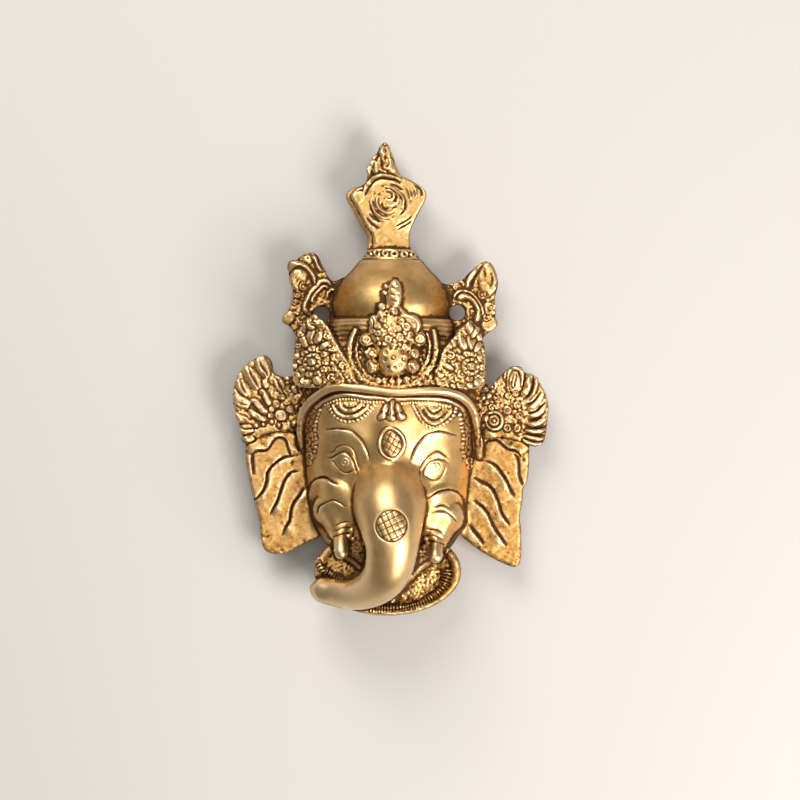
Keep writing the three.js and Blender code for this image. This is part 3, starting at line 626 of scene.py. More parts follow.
def near(line, reach):
    """The part of the map near a line: how far each cell lies from it, on which side, and how far along."""
    points = smooth_line(line, 0.25)
    part = window(points.min(0) - reach, points.max(0) + reach)
    px, py = map_x[part], map_y[part]
    gap, which = np.full(px.shape, 1e9), np.zeros(px.shape, int)
    for number, (x, y) in enumerate(points):
        away = (px - x) ** 2 + (py - y) ** 2
        closer = away < gap
        gap[closer], which[closer] = away[closer], number
    spot, ahead = points[which], headings(points)[which]
    left = ahead[..., 0] * (py - spot[..., 1]) - ahead[..., 1] * (px - spot[..., 0])
    middle = (which > 0) & (which < len(points) - 1)
    return part, np.where(middle, np.abs(left), np.sqrt(gap)), left, which / (len(points) - 1)


def tapered(along, share):
    """How full a line is along it, thin towards its ends."""
    return np.clip(np.minimum(along, 1 - along) / share, 0.02, 1) ** 0.5 if share else 1


def ridge(line, width, height, lift=0.0, taper=0.25, moat=0.35):
    """A thread on a line, of the given half width and height, thin at its ends."""
    part, gap, _, along = near(line, width + moat)
    thin = tapered(along, taper)
    share = (gap / (width * thin)) ** 2
    top = lift + height * thin * np.sqrt(np.clip(1 - share, 0, 1))
    press(part, gap - width * thin, top, lift, lift + height, moat)


def groove(line, width, depth, taper=0.2):
    """A line cut with a graver, of the given half width."""
    part, gap, _, along = near(line, width)
    relief[part] -= depth * tapered(along, taper) * np.clip(1 - (gap / width) ** 2, 0, 1) ** 1.3


def fold(line, height, fade, side=1, power=1.4, taper=0.2):
    """A step up on the left of a line, or on the right with side -1, that falls off softly."""
    part, gap, left, along = near(line, fade)
    lip = height * tapered(along, taper) * np.clip(1 - gap / fade, 0, 1) ** power
    relief[part] += np.where(left * side > 0, lip, 0)


CURL_WIDTH = 0.3  # half the thread's width, as a share of the curl's radius


def curl(x, y, radius, start, hand, height, lift=0.0):
    """A curl of foliage round a bead, to the left with hand 1 and to the right with hand -1."""
    share = np.linspace(0, 1, 9)
    reach = radius * (1 - CURL_WIDTH) * (1 - 0.45 * share)
    turns = start + hand * 1.7 * math.pi * share
    line = np.column_stack([x + reach * np.cos(turns), y + reach * np.sin(turns)])
    ridge(line, radius * CURL_WIDTH, height, lift, 0.1)
    bead(x, y, radius * 0.34, height * 0.8, lift=lift)


def beside(line, by):
    """A line that runs along another, to its left by a distance."""
    line = smooth_line(line, 0.8)
    return line + by * headings(line)[:, ::-1] * (-1, 1)


def hatched(middle, radii, pitch, lean):
    """Crossed lines cut inside an oval."""
    for angle in (lean, lean + math.pi / 2):
        along = np.array((math.cos(angle), math.sin(angle)))
        across = np.array((-math.sin(angle), math.cos(angle)))
        wide = math.hypot(radii[0] * across[0], radii[1] * across[1])
        long = math.hypot(radii[0] * along[0], radii[1] * along[1])
        for step in np.arange(-math.floor(wide / pitch), math.floor(wide / pitch) + 1) * pitch:
            half = long * math.sqrt(max(0, 1 - (step / wide) ** 2)) * 0.94
            groove(np.array(middle) + across * step + np.array([[-half], [0], [half]]) * along, 0.3, 0.3, 0)


def oval(middle, radii, turns=np.linspace(0, 2 * math.pi, 25)):
    """Points round an oval."""
    return np.column_stack([middle[0] + radii[0] * np.cos(turns), middle[1] + radii[1] * np.sin(turns)])


BROWS = [
    [(-26.4, -20.2), (-20.6, -19.9), (-15.9, -20.5), (-12.7, -22.8), (-10.4, -26), (-8.6, -30.3),
     (-8, -33.5)],
    [(8.2, -33.5), (9.4, -28.4), (12.2, -24.4), (14.9, -22), (19.7, -21.2), (24.4, -22.4), (26.8, -23.2)],
]
UPPER_LIDS = [
    [(-25.6, -29.4), (-22.6, -29), (-21.3, -27.5), (-18.6, -26.9), (-15.5, -28), (-13.5, -30.8),
     (-11.4, -36.9)],
    [(11.4, -40.1), (12.2, -35.4), (14.7, -31.2), (18.4, -29), (21.6, -30.6), (23.4, -31.6)],
]
LASHES = [
    [(-25.6, -30.8), (-23.4, -31.3), (-20.6, -30.1), (-18.6, -29.8), (-16.3, -30.8), (-14.3, -33.1),
     (-12.5, -37.9)],
    [(12.6, -39.4), (13.8, -35.4), (16.5, -32.4), (19.3, -31.7), (22.6, -33.1)],
]
LOWER_LIDS = [
    [(-23.4, -31.4), (-22.1, -33.8), (-20.8, -35.6), (-18.6, -37.4), (-16.5, -37.6), (-13.5, -36.4)],
    [(13.4, -38), (15.6, -39.7), (18.4, -39.7), (20.7, -38), (22.4, -34.4)],
]
CHEEK_FOLDS = [
    [(-33, -49), (-32, -44), (-30.4, -41.2), (-28.3, -40.2), (-25, -40.1), (-20.9, -41.7)],
    [(15.4, -47.2), (17.6, -45.6), (20.5, -44.6), (24.6, -44.6), (27.4, -46.5), (29, -48.8), (29.5, -51.4)],
]
CHEEK_LINES = [
    [(-28.9, -53.8), (-27.9, -50.7), (-25.4, -49.1), (-22.5, -48.1), (-20, -49.1), (-17.5, -50.7)],
    [(16.7, -53.2), (19.5, -52.7), (22.1, -53), (24.6, -54.5), (26.2, -56.5)],
    [(17.5, -50.8), (20.6, -50.3), (23.6, -51.4)],
]
BROW_MARK, TRUNK_MARK = (0.6, -25.8), (0.7, -57.4)  # the middles of the hatched ovals
HATCHES = [(2.3, 1.08), (2.4, 0.45)]  # how far apart their lines are, and their lean
PUPILS = [(-17.7, -33.6), (17.8, -34.9)]


def face():
    # Each group's lines, how high and how broad the fold above them is, and the cut's half width and depth.
    for group, height, fade, width, depth in (
        (BROWS, 0.55, 3, 0.6, 0.8),
        (UPPER_LIDS, 0.3, 2, 0.45, 0.6),
        (LASHES, 0.35, 1.6, 0.45, 0.75),
        (LOWER_LIDS, 0.3, 1.4, 0.4, 0.6),
        (CHEEK_FOLDS, 1.2, 5, 0.7, 0.9),
        (CHEEK_LINES, 0.45, 2.4, 0.5, 0.75),
    ):
        for line in group:
            fold(line, height, fade, side=-1)
            groove(beside(line, 0.2) if group is CHEEK_FOLDS else line, width, depth)
    for x, y in PUPILS:
        ring(x, y, 1.7, 0.35, 0.05, eye=0)
        bead(x, y, 0.7, 0.5)
    ridge(oval(BROW_MARK, (5, 6)), 0.6, 0.6, 0, 0)
    groove(oval(BROW_MARK, (4.2, 5.2)), 0.35, 0.4, 0)
    hatched(BROW_MARK, (3.9, 4.9), *HATCHES[0])


face()


# The ears.
# Broad and flat, with a smooth folded border along the top and veins that step down like leaves.
LEFT_BORDER = [
    (-55.8, -30.4), (-53.5, -28.2), (-50.6, -27.8), (-48.8, -25.7), (-47.3, -23.9), (-45.2, -23),
    (-42.7, -23.3), (-41.2, -24.9), (-40.1, -28.5), (-39.4, -31.1),
]
RIGHT_BORDER = [
    (36.7, -29.4), (37.5, -26.3), (39.4, -24), (41.4, -23.6), (43.7, -24.4), (45.6, -25.9), (47.6, -27.7),
    (49.5, -27.9), (51.4, -28.6), (53, -30.6),
]
LEFT_VEINS = [
    [(-54.5, -30.6), (-54.9, -34.7), (-54.4, -39)],
    [(-39.1, -31.2), (-42.7, -31.8), (-46.3, -33.9), (-48.8, -37.5), (-49.5, -41.2), (-50.9, -45.5),
     (-54.2, -49.4)],
    [(-36.9, -37.7), (-39.4, -38.3), (-41.2, -40.4), (-43, -43.3), (-44.1, -46.9), (-45.2, -50.2),
     (-48.1, -54.8)],
    [(-34.6, -44.4), (-36.4, -47.3), (-38.3, -49.8), (-39.4, -53), (-40.1, -57), (-41.6, -59.9),
     (-42.7, -62.8)],
]
RIGHT_VEINS = [
    [(49.5, -30.2), (51, -32.1), (51.4, -36), (51.8, -39.8), (53, -42.9)],
    [(38.3, -33.3), (41.8, -35.2), (44.5, -38.3), (46.4, -41.8), (47.9, -44.8), (49.9, -47.5)],
    [(33.7, -40.2), (37.1, -41.8), (39.8, -43.7), (42.1, -47.2), (44.1, -52.2), (45.6, -55.3), (47.6, -58.3)],
    [(33.6, -48.6), (37.9, -53.3), (40.2, -57.6), (42.9, -62.2), (46.4, -66.8)],
    [(31.6, -58.2), (34.4, -62.2), (37.1, -66.5)],
]
EAR_FEET = [
    [(-52, -62), (-50, -68.6), (-46, -70), (-38, -68.4), (-32, -65.4)],
    [(36, -69), (42, -72.4), (46.6, -74.6), (50.4, -75), (52, -71)],
]


def rough(outline, amount):
    """Leaves the skin of the mould on what lies within an outline."""
    part, within = region(outline)
    coarse_map[part] = np.where(within, amount, coarse_map[part])


def ears():
    for outline in (LEFT_EAR, RIGHT_EAR):
        rough(outline, 0.45)
    for border in (LEFT_BORDER, RIGHT_BORDER):
        fold(border, 1.3, 9, power=0.6, taper=0.1)
        ridge(border, 0.5, 0.6, 1.1, moat=0)
        groove(beside(border, -0.7), 0.7, 0.7)
    for veins, side in ((LEFT_VEINS, 1), (RIGHT_VEINS, -1)):
        for number, vein in enumerate(veins):
            if number:
                fold(vein, 1.1, 8, side, power=1.1)
            groove(beside(vein, -0.3 * side), 0.75, 1.3)
            if number:
                part, gap, left, along = near(vein, 5)
                amount = 1.2 * np.clip(1 - gap / 5, 0, 1) * (left * side < 0.4) * tapered(along, 0.3)
                coarse_map[part] = np.maximum(coarse_map[part], amount)
    for foot_line in EAR_FEET:
        part, gap, _, _ = near(foot_line, 4)
        coarse_map[part] = np.maximum(coarse_map[part], np.clip(1.2 - gap / 4, 0, 0.9))


ears()


# The fans above the ears.
# Broad feathers spread from a bunch of curled petals, with rings and beads of thread between them. All of it
# was laid on the plate in wax thread.
def lay(form, table, *settings, **more):
    """Lays a form once for each row of a table."""
    for row in table:
        form(*row, *settings, **more)


def grains(outline, pitch, size, height, seed):
    """Small beads scattered close together inside an outline."""
    scatter = np.random.default_rng(seed)
    outline = np.array(outline, float)
    low, high = outline.min(0), outline.max(0)
    columns, rows = ((high - low) / pitch).astype(int) + 1
    row, column = np.mgrid[0:rows, 0:columns].reshape(2, -1)
    spots = low + (np.column_stack([column, row]) + scatter.random((len(row), 2))) * pitch
    for x, y in spots[inside(spots[:, 0], spots[:, 1], outline)]:
        wide = scatter.uniform(size * 0.7, size * 1.1)
        long = scatter.uniform(size * 0.8, size * 1.5)
        turn = scatter.uniform(0, 3)
        bead(x, y, wide, height * scatter.uniform(0.6, 1), long, turn, moat=0.2)


FEATHERS = [  # x, y, radii across and up, and turn
    (-50.8, 4.6, 2.6, 4.6, 0.2), (-55.6, 0.6, 3, 5.6, 0.6), (-59.4, -3.4, 2.2, 4.2, 0.9),
    (-59.6, -8.8, 2.6, 4, 1.2), (-59.6, -15.4, 2.4, 3.4, 1.5), (-58, -20.6, 2.4, 3.4, 1.7),
    (-56.8, -24, 1.4, 2.6, 1.5), (50, 1, 3.2, 3.9, 0), (58.6, -20.6, 1.3, 3, 1.6),
    (46.8, 0.6, 1.5, 3.6, 0.2),
]
FEATHER_RIDGES = [  # a line, half width and height
    ([(55.1, 1), (55.1, -0.4), (54.6, -3.3), (53.6, -5.9), (52.6, -8.4)], 1.5, 1.6),
    ([(57.9, 1.2), (58.2, -2), (57.4, -4.9), (56.1, -7.2), (54.6, -8.6)], 0.9, 1.4),
    ([(61.4, -4), (60.2, -8), (57.9, -10.8), (54.6, -12.6)], 1.2, 1.5),
    ([(63, -10), (60.8, -13.1), (58.7, -14.6), (54.8, -15.6)], 1.1, 1.4),
    ([(63, -15.6), (60.2, -17.6), (57.4, -18.6), (54.2, -18.8)], 1, 1.3),
    ([(62.4, -20), (60, -20.9), (57.2, -21.2), (53.8, -21)], 0.9, 1.3),
    ([(61.4, -23.4), (59.7, -24), (56.7, -23.7), (53.4, -23)], 1, 1.3),
    ([(61, -25.6), (57.9, -26), (55.1, -25.4), (53, -24.2)], 0.7, 1.1),
]
FEATHER_CUTS = [
    [(-51.7, 7.6), (-51.4, 5.4), (-50.2, 3.1), (-49, 0.8)],
    [(-56.4, 5.4), (-56.2, 2.9), (-55.4, 0.5), (-53.3, -2.8), (-52, -4.4)],
    [(-60.6, 0), (-60, -2.3), (-58.7, -4.4), (-56.6, -6.6)],
    [(-62.6, -3.6), (-59.5, -6.4), (-56.2, -7.8)],
    [(-62.2, -12.6), (-60.5, -13.8), (-57.7, -15), (-55.2, -17)],
    [(-60.4, -19.4), (-58.5, -20.2), (-56.2, -20.2), (-53.6, -19.8)],
    [(-59.6, -22.8), (-57, -22.6), (-54.4, -21.8)],
    [(-61.4, -9.6), (-58.6, -10.4), (-56.6, -11)],
    [(56.7, 1.8), (57, -2), (56.4, -5.1), (54.9, -7.4)],
    [(62, -4.4), (60.6, -5), (59.2, -6.9), (57, -9.4), (54, -10.7)],
    [(63, -9), (61.8, -9.9), (60, -11.9), (57.8, -13.4), (54.6, -14)],
    [(63.4, -13), (62.4, -13.4), (60, -15.4), (57.2, -16.6), (54.2, -17)],
    [(62.8, -18.6), (60.8, -19.4), (57.9, -20), (54.6, -20)],
    [(62, -22.2), (59.4, -22.5), (56.4, -22.3), (53.6, -21.9)],
    [(60.6, -24.9), (58, -25), (55.4, -24.4), (53.6, -23.5)],
    [(53.4, 4), (53.5, 0.8), (52.8, -3.2), (51.6, -6.6)],
]
TONGUES = [  # from its foot to the curled tip
    [(-47.6, -10.6), (-49.2, -8.4), (-50.4, -6), (-51.4, -5.2), (-52.2, -6)],
    [(-49, -13.8), (-51.2, -12.2), (-53.4, -10), (-54.6, -9), (-55.4, -9.8)],
    [(-49.3, -16.6), (-51.8, -15.8), (-54.2, -14.4), (-55.9, -13.4), (-56.6, -14.4)],
    [(-48.6, -3.4), (-50, -1.6), (-50.6, 0.2)],
]
LEFT_BEADED = [(-48.4, 1), (-40, 0.6), (-36, 3), (-33, -2), (-33, -19), (-38, -21), (-54, -21), (-50, -12)]
RIGHT_BEADED = [(44, -1), (53, -5), (54.4, -14), (53.6, -23), (46, -23), (36, -22), (36, -4)]
FAN_RINGS = [  # x, y and radius
    (-45.4, -10, 1.5), (-47.4, -12.1, 1.2), (-47.9, -14.7, 1.2), (-43.2, -7, 1.2), (-40.4, -12, 1.4),
    (50.8, -10.6, 1.5), (47.4, -7, 1.4), (51.2, -15.4, 1.5), (46.8, -12.4, 1.6), (50.6, -20, 1.4),
    (46.6, -19.6, 1.5), (50.2, -6, 1.3), (43, -8.6, 1.4),
]
FAN_BEADS = [(-53.8, -18.8, 1), (-47.4, -17.4, 1), (-50.8, -18.4, 0.9), (-44.4, -18.6, 1)]
PETAL_LINES = [
    [(-46.6, 0.4), (-44.6, -3), (-42.8, -5.6)], [(-44.4, 0), (-42.4, -3), (-41, -6.4)],
    [(-41.8, 0), (-40, -3.6), (-39.4, -8)], [(43, -1.4), (41.4, -3.4), (40.4, -6)],
]


def fans():
    for fan in (LEFT_FAN, RIGHT_FAN):
        rough(fan, 0.7)
        grains(fan, 1.15, 0.6, 0.2, 11)
    for x, y, across, up, turn in FEATHERS:
        bead(x, y, across, 0.7, up, turn, 0.2, 0.4)
    lay(ridge, FEATHER_RIDGES, taper=0.3)
    for line in FEATHER_CUTS:
        fold(line, 0.7, 3, side=-1)
        groove(line, 0.45, 0.9, 0.3)
    bead(49.9, -0.8, 3.1, 1, 5.2, -0.05, 0.2, 0.4)
    spoon = [(47.2, -5), (46.9, 0), (48, 3.2), (49.8, 4.2), (51.8, 3.4), (52.8, 0.4), (52.4, -4.4)]
    ridge(spoon, 0.6, 0.6, 1)
    ridge([(49, -3.6), (49.4, -0.8), (50.6, 1.4)], 0.5, 0.5, 0.9)
    grains(LEFT_BEADED, 1.5, 0.85, 0.5, 12)
    grains(RIGHT_BEADED, 1.6, 0.95, 0.6, 13)
    for line in TONGUES:
        ridge(line, 1.35, 1, 0.7, 0.15)
        groove(line, 0.35, 0.4)
    lay(ring, FAN_RINGS, 0.7, 0.8)
    ring(-43.6, -14.7, 2.4, 0.9, 0.9, eye=0.5)
    ridge(oval((41.5, -16.9), (3.4, 3.5)), 0.7, 0.7, 0.6, 0)
    ring(41.5, -16.9, 2.3, 0.8, 1, eye=0.4)
    lay(bead, FAN_BEADS, 0.9, lift=0.5)
    for line in PETAL_LINES:
        ridge(line, 0.9, 0.9, 0.5)


fans()


# The flanges' scrolls.
# A fat roll round each hole beside the dome, and curled leaves and lobes along the outer edge.
FLANGE_RIDGES = [  # a line, half width and height
    ([(-31, 25), (-33.4, 27.2), (-33.9, 30.2), (-32.6, 33.4), (-30.2, 36.8), (-28, 38.9), (-25.2, 39),
      (-23, 36.6)], 1, 1.5),
    ([(-29.6, 30.4), (-31.2, 31.2), (-30.4, 33.6), (-28.2, 36), (-26, 37), (-24.4, 35.6)], 0.8, 1.2),
    ([(-24.6, 31.6), (-24.8, 33.8), (-23, 35.4), (-21.6, 33.8)], 0.8, 1.1),
    ([(-40.8, 42.3), (-39.3, 45.2), (-36.9, 46.6), (-34.6, 46), (-32.1, 43.6), (-30.5, 40.6), (-30.5, 37.6)],
     1, 1.6),
    ([(-31.6, 49.4), (-30, 48.4), (-28.8, 45.6), (-27.4, 43.2)], 0.8, 1.2),
    ([(28.9, 30.4), (30.8, 28.3), (31.4, 25.6), (30.8, 23.3)], 0.6, 1.1),
    ([(26.4, 31), (28.9, 32.7), (31.6, 32.4), (34, 30.5), (35.4, 27.5), (35.1, 24.8),
      (33.4, 22.4)], 1.25, 1.7),
    ([(24.4, 31), (27.1, 34.3), (30.2, 34.8), (33.2, 33.4), (35.9, 30.6), (37, 26.4), (36.6, 23)], 0.6, 1.2),
    ([(34.9, 44.2), (32.9, 41.6), (31, 38.9), (30.4, 35.8)], 1, 1.5),
    ([(24.6, 37), (26.4, 38.6), (28.6, 38.2), (29, 36.4)], 0.7, 1),
]
FLANGE_CURLS = [  # x, y, radius, start and hand
    (-34.5, 37, 1.9, 1, 1), (-37.2, 34.1, 1.7, 2, -1), (-37.7, 30.6, 1.5, 0, 1), (-37, 26.6, 1.5, 3, 1),
    (-35.6, 22.6, 1.6, 1, -1), (26.7, 36.5, 1.5, 0, 1), (37.2, 33.7, 2.1, 2, 1), (40.4, 28.9, 1.7, 1, -1),
    (38.9, 24.6, 2, 2, 1), (34.2, 36.6, 1.3, 0, 1), (39.6, 32.2, 1.3, 1, 1),
]
FLANGE_LOBES = [  # x, y, half width, height, half length, turn, step and roundness
    (-33.6, 48, 2.6, 0.8, 1.8, 0.2, 0.3, 0.4), (-41, 24.2, 3.4, 0.7, 2.6, 0.6, 0.3, 0.3),
    (39.2, 39.6, 3.4, 0.8, 6.6, 0, 0.3, 0.35), (39.4, 21.6, 3.2, 0.7, 3.2, 0.3, 0.3, 0.35),
    (39.8, 28, 2.4, 0.7, 3, 0.2, 0.3, 0.35),
]


def flange_scrolls():
    for flange in (LEFT_FLANGE, RIGHT_FLANGE):
        rough(flange, 0.85)
        grains(flange, 1.3, 0.75, 0.3, 21)
    bead(-37, 40, 3.4, 0.9, 4.6, -0.5, 0.3, 0.35)
    fold([(-39.6, 37.6), (-37.4, 39.4), (-35.4, 42.4), (-35.6, 45)], 0.7, 3)
    lay(bead, FLANGE_LOBES)
    lay(ridge, FLANGE_RIDGES, 0.2, 0.15)
    lay(curl, FLANGE_CURLS, 0.9, 0.6)
    for x, y in ((-35.2, 48.4), (-33, 48.9)):
        groove(oval((x, y), (0.1, 0.1)), 0.5, 0.7, 0)
    groove([(36.2, 44.6), (34.6, 41.4), (33, 38.6), (32.4, 36)], 0.7, 0.9)
    for line in ([(37.6, 44), (38.4, 41), (38.2, 37.6)], [(40.4, 43), (41, 39.4), (40.6, 36)]):
        groove(line, 0.6, 0.6)
        fold(line, 0.4, 2)
    for x, y, radius in (LEFT_HOLE, RIGHT_HOLE):
        part, gap, _, _ = near(oval((x, y), (radius + 0.7, radius + 0.7)), 0.9)
        relief[part] = np.where(gap < 0.9, np.minimum(relief[part], 0.3), relief[part])


flange_scrolls()


# The finial.
# A spade with a round medallion of plain crescents under a bright arch, small flames at its tip, and paired
# lines where it narrows to the stem. A band of eyelets runs round the foot of the stem.
FINIAL_RIDGES = [
    ([(-11.4, 71.6), (-10.9, 73.4), (-9.6, 76.9), (-6.9, 79.6), (-3.6, 81.1), (-0.6, 81.4), (2.4, 80.6),
      (4.8, 79)], 0.6, 0.8),
    ([(-2.7, 94), (-2.7, 91.6), (-3.2, 89)], 0.9, 1),
    ([(-8.6, 81), (-8.2, 84.6), (-6.9, 88), (-5.6, 90)], 0.6, 0.7),
    ([(-7.4, 85.2), (-6.9, 87.2), (-5.7, 87), (-5.6, 85), (-6.4, 84)], 0.5, 0.6),
    ([(-0.6, 89.4), (0.2, 87), (-0.2, 84.8), (-1.8, 84.2), (-2.8, 85.6)], 0.7, 0.8),
    ([(-4.6, 84.2), (-3.2, 83), (-1, 82.9)], 0.5, 0.6),
    ([(-6.4, 73.6), (-7.4, 70.4), (-6, 66.6), (-2.8, 64.2), (0.8, 64.4)], 0.5, 0.5),
    ([(-4.6, 73.4), (-5.2, 70.6), (-4.2, 68), (-1.8, 66.4), (0.6, 66.6), (1.8, 68.2)], 0.5, 0.5),
    ([(-3.2, 77), (0, 76.2), (3, 74.4), (4.8, 71.6), (4.6, 68.4)], 0.5, 0.5),
    ([(-2.6, 74.6), (-0.8, 75.2), (1.2, 74), (1, 72), (-0.6, 71.2), (-2.2, 72)], 0.5, 0.5),
    ([(-2, 69.6), (0, 69), (2.2, 69.8), (3, 71.6)], 0.45, 0.45),
    ([(7.2, 76), (7.8, 73.4), (8, 71)], 0.45, 0.4),
    ([(9.8, 76.4), (10.4, 74.6), (10.6, 72.4)], 0.45, 0.4),
]
FINIAL_CUTS = [
    [(-9.6, 73), (-8.6, 76), (-6.4, 78.5), (-3.4, 80), (-0.6, 80.2), (2, 79.6), (4, 78.2)],
    [(-8.6, 66.2), (-6.4, 64), (-3.7, 62.2)], [(-9.6, 64.4), (-7.4, 61.8), (-4.4, 59.8)],
    [(8, 64.8), (5.4, 62.6), (2.1, 60.7)], [(8, 62.9), (5.6, 61), (2.8, 59.3)],
    [(-4, 88.6), (-3.3, 86.6), (-3.6, 84.8)], [(-2, 88.4), (-1.6, 87.4), (-2, 86.2)],
    [(-14.8, 72.2), (-13.8, 74.4), (-11.6, 75.6)], [(10, 77.4), (12.2, 75.8), (12.6, 73)],
    [(-7.6, 69.2), (-6.8, 65.6), (-4.4, 63.4)], [(-0.6, 78), (2.4, 77), (5, 75)],
    [(5.6, 70.6), (5.6, 67.8), (4.2, 65.6)], [(-3.6, 70.4), (-2.6, 68.4), (-0.6, 67.8)],
    [(1.8, 73.6), (2.2, 72.2), (1.2, 70.6)],
]
FLAMES = [(-6.4, 85, 1.8, 3.2), (-0.2, 85.6, 2.2, 3), (-3.2, 91.4, 1.6, 2.6), (-12.8, 72.4, 3, 2.6)]
EYELET_PITCH = 3.5


def finial_relief():
    rough(FINIAL, 0.6)
    part, gap, _, _ = near([(-0.6, 70.9), (-0.5, 70.5), (-0.4, 70.1)], 8.6)  # the medallion
    relief[part] += 0.25 * np.clip((8.4 - gap) / 0.8, 0, 1)
    for line, width, height in FINIAL_RIDGES:
        ridge(line, width, height * 1.4, 0.15, moat=0.45)
    for line in FINIAL_CUTS:
        groove(line, 0.5, 1.1)
    for x, y, across, up in FLAMES:
        bead(x, y, across, 0.5, up, 0.2, 0, 0.5, moat=0.25)
    for number in range(-3, 3):
        ring(0.15 + EYELET_PITCH * (number + 0.5), 49.9, 1.4, 0.8, 0, eye=0)
    for y in (48.2, 51.4):
        ridge([(-12, y), (0, y), (12, y)], 0.4, 0.4, 0, 0)


finial_relief()


# The front of the crown.
# The ground between the crests is crowded with small beads and curls of thread, down to the headband.
def curls(outline, pitch, sizes, seed, height):
    """Curls and beads scattered inside an outline, none on another."""
    scatter = np.random.default_rng(seed)
    outline = np.array(outline, float)
    low, high = outline.min(0), outline.max(0)
    placed = []
    for x, y, size, kind in scatter.random((int(np.prod((high - low) / pitch) * 3), 4)):
        x, y = low + (x, y) * (high - low)
        size = sizes[0] + size * (sizes[1] - sizes[0])
        free = all(math.hypot(x - a, y - b) > 0.85 * (size + c) for a, b, c in placed)
        if free and inside(x, y, outline):
            placed.append((x, y, size))
            if kind > 0.45:
                curl(x, y, size, kind * 20, 1 if kind > 0.7 else -1, height)
            else:
                bead(x, y, size * 0.8, height, size * 1.1, kind * 12)


def clear(outline):
    """Smooths away what lies within an outline."""
    part, within = region(outline)
    relief[part] = np.where(within, 0, relief[part])


GROUND = [
    (-37, -20), (-42, -6), (-40, 20), (-27, 24), (-25, 13), (25, 13), (27, 23), (41, 18), (42, -8),
    (37, -20), (31, -6), (26, -4), (2, -3), (-22, -1.6), (-30, -5),
]
# Corners of a patch, pitch, sizes of its curls, seed and height.
CURLED = [
    ([(-25, -2.4), (-10, -2.4), (-15, 3), (-17, 10), (-20, 9), (-17, 3), (-16, 1)], 1.5, (0.9, 1.6), 32, 0.9),
    ([(10, -2.8), (25, -5), (18, 0), (19, 6), (20, 11), (17, 2)], 1.5, (0.9, 1.6), 33, 0.9),
    ([(-37, -22), (-42, -8), (-40.6, 18), (-37, 20), (-37.6, 0), (-37.4, -8),
      (-34, -8.6)], 1.6, (1, 1.8), 34, 1.1),
    ([(36, -22), (41.6, -10), (41, 15), (36.8, 18), (37.4, 0), (37.6, -6),
      (34.6, -9)], 1.6, (1, 1.8), 35, 1.1),
]


def crown_front():
    profile = np.array(DRUM[2:] + DOME[1:])
    profile = np.vstack([profile - (0.9, 0), (profile * (-1, 1) + (0.9, 0))[::-1]]) + (CROWN_X, 0)
    clear(profile)
    rough(profile, 0.12)
    rough(GROUND, 0.9)
    grains(GROUND, 1.25, 0.7, 0.4, 31)
    lay(curls, CURLED)


crown_front()


# The ornament on the crests.
# Rings and beads of thread on the lumps of the central crest. On each side crest there is a flower with
# rings round it, petals over it, and curls up its edges.
CREST_RINGS = [  # x, y and radius
    (0.6, 18.7, 1.6), (-0.8, 15.3, 1.4), (3.9, 15.9, 1.6), (6.3, 20, 1.5), (1.3, 12.6, 1),
    (-3.4, 17.6, 1.2), (3.4, 19.4, 1.1), (1.6, 21, 1.1), (-9.4, 15, 1.7), (11.6, 15.3, 1.8),
    (-3.1, 28, 1.2), (-5, 20.6, 1.3), (-4.8, 17.4, 1.1), (-6.8, 18.4, 1), (-2.6, 22.9, 1.2),
    (4.7, 22.2, 1.2), (8, 17.2, 1.1), (5.8, 12.6, 1), (-5.4, 14.8, 1.1), (-1.2, 25.6, 1.1),
    (-7.6, 9.8, 1.2), (9.2, 9.4, 1.1),
]
CREST_BEADS = [
    (1.9, 14.5, 0.9), (5.9, 17.6, 0.9), (-2, 20.4, 0.9), (1.6, 16.9, 0.7), (4.2, 13.2, 0.8),
    (-2.6, 13.2, 0.8), (6, 14.6, 0.8), (1.3, 26, 0.8), (-4.6, 13.4, 0.8), (2.4, 24, 0.8),
]
CREST_PITS = [
    (1.3, 7.9, 1.4), (5, 10.3, 0.95), (5.3, 7.3, 1), (-2.3, 7.1, 0.9), (-1.9, 9.8, 0.85), (0.3, 11.4, 0.8),
    (2.6, 11.6, 0.85), (4, 4.8, 0.9), (1.9, 3.8, 0.8), (-0.7, 4.2, 0.85),
]
CREST_CUTS = [
    [(-0.4, 33.4), (1.6, 32.6), (3.8, 33.2)], [(0.2, 35.8), (2, 35.2), (3.6, 35.8)],
    [(0.4, 30.6), (1.8, 30.2), (3.2, 30.2)], [(-7.4, 23.8), (-6.4, 22), (-6.6, 20)],
    [(2.6, 27.6), (4.6, 25.6), (6.4, 24.6)],
]
CREST_KNOBS = [(-7.4, 9.6, 1), (-7.2, 5.2, 1.1), (9.1, 9.3, 1), (8.8, 4.9, 1.1), (8.5, 15, 0.9)]


def central_crest():
    clear(mirrored(CREST) * 1.04 + (CREST_X, -0.6))
    clear(oval((1.3, 10), (11.6, 12)))
    bunch = [(10, 19), (9, 15), (7, 11), (7, 3), (1, 0), (-5, 2), (-5.6, 10), (-9, 18)]
    shoe = [*smooth_line(INNER_SHOE, 1), *bunch]  # the ground between the roll and the bunch of lumps
    rough(shoe, 0.8)
    rough(mirrored(CREST) + (CREST_X, 0), 0.35)
    grains(shoe, 1.15, 0.62, 0.5, 41)
    lay(ring, CREST_RINGS, 0.6, 0.1)
    lay(bead, CREST_BEADS, 0.7)
    for x, y, radius in CREST_PITS:
        groove(oval((x, y), (radius * 0.62, radius * 0.62)), 0.42, 0.45, 0)
    for line in CREST_CUTS:
        groove(line, 0.45, 0.5)
    lay(bead, CREST_KNOBS, 0.5)
    curl(6.3, -1, 1.5, 0, 1, 0.7)


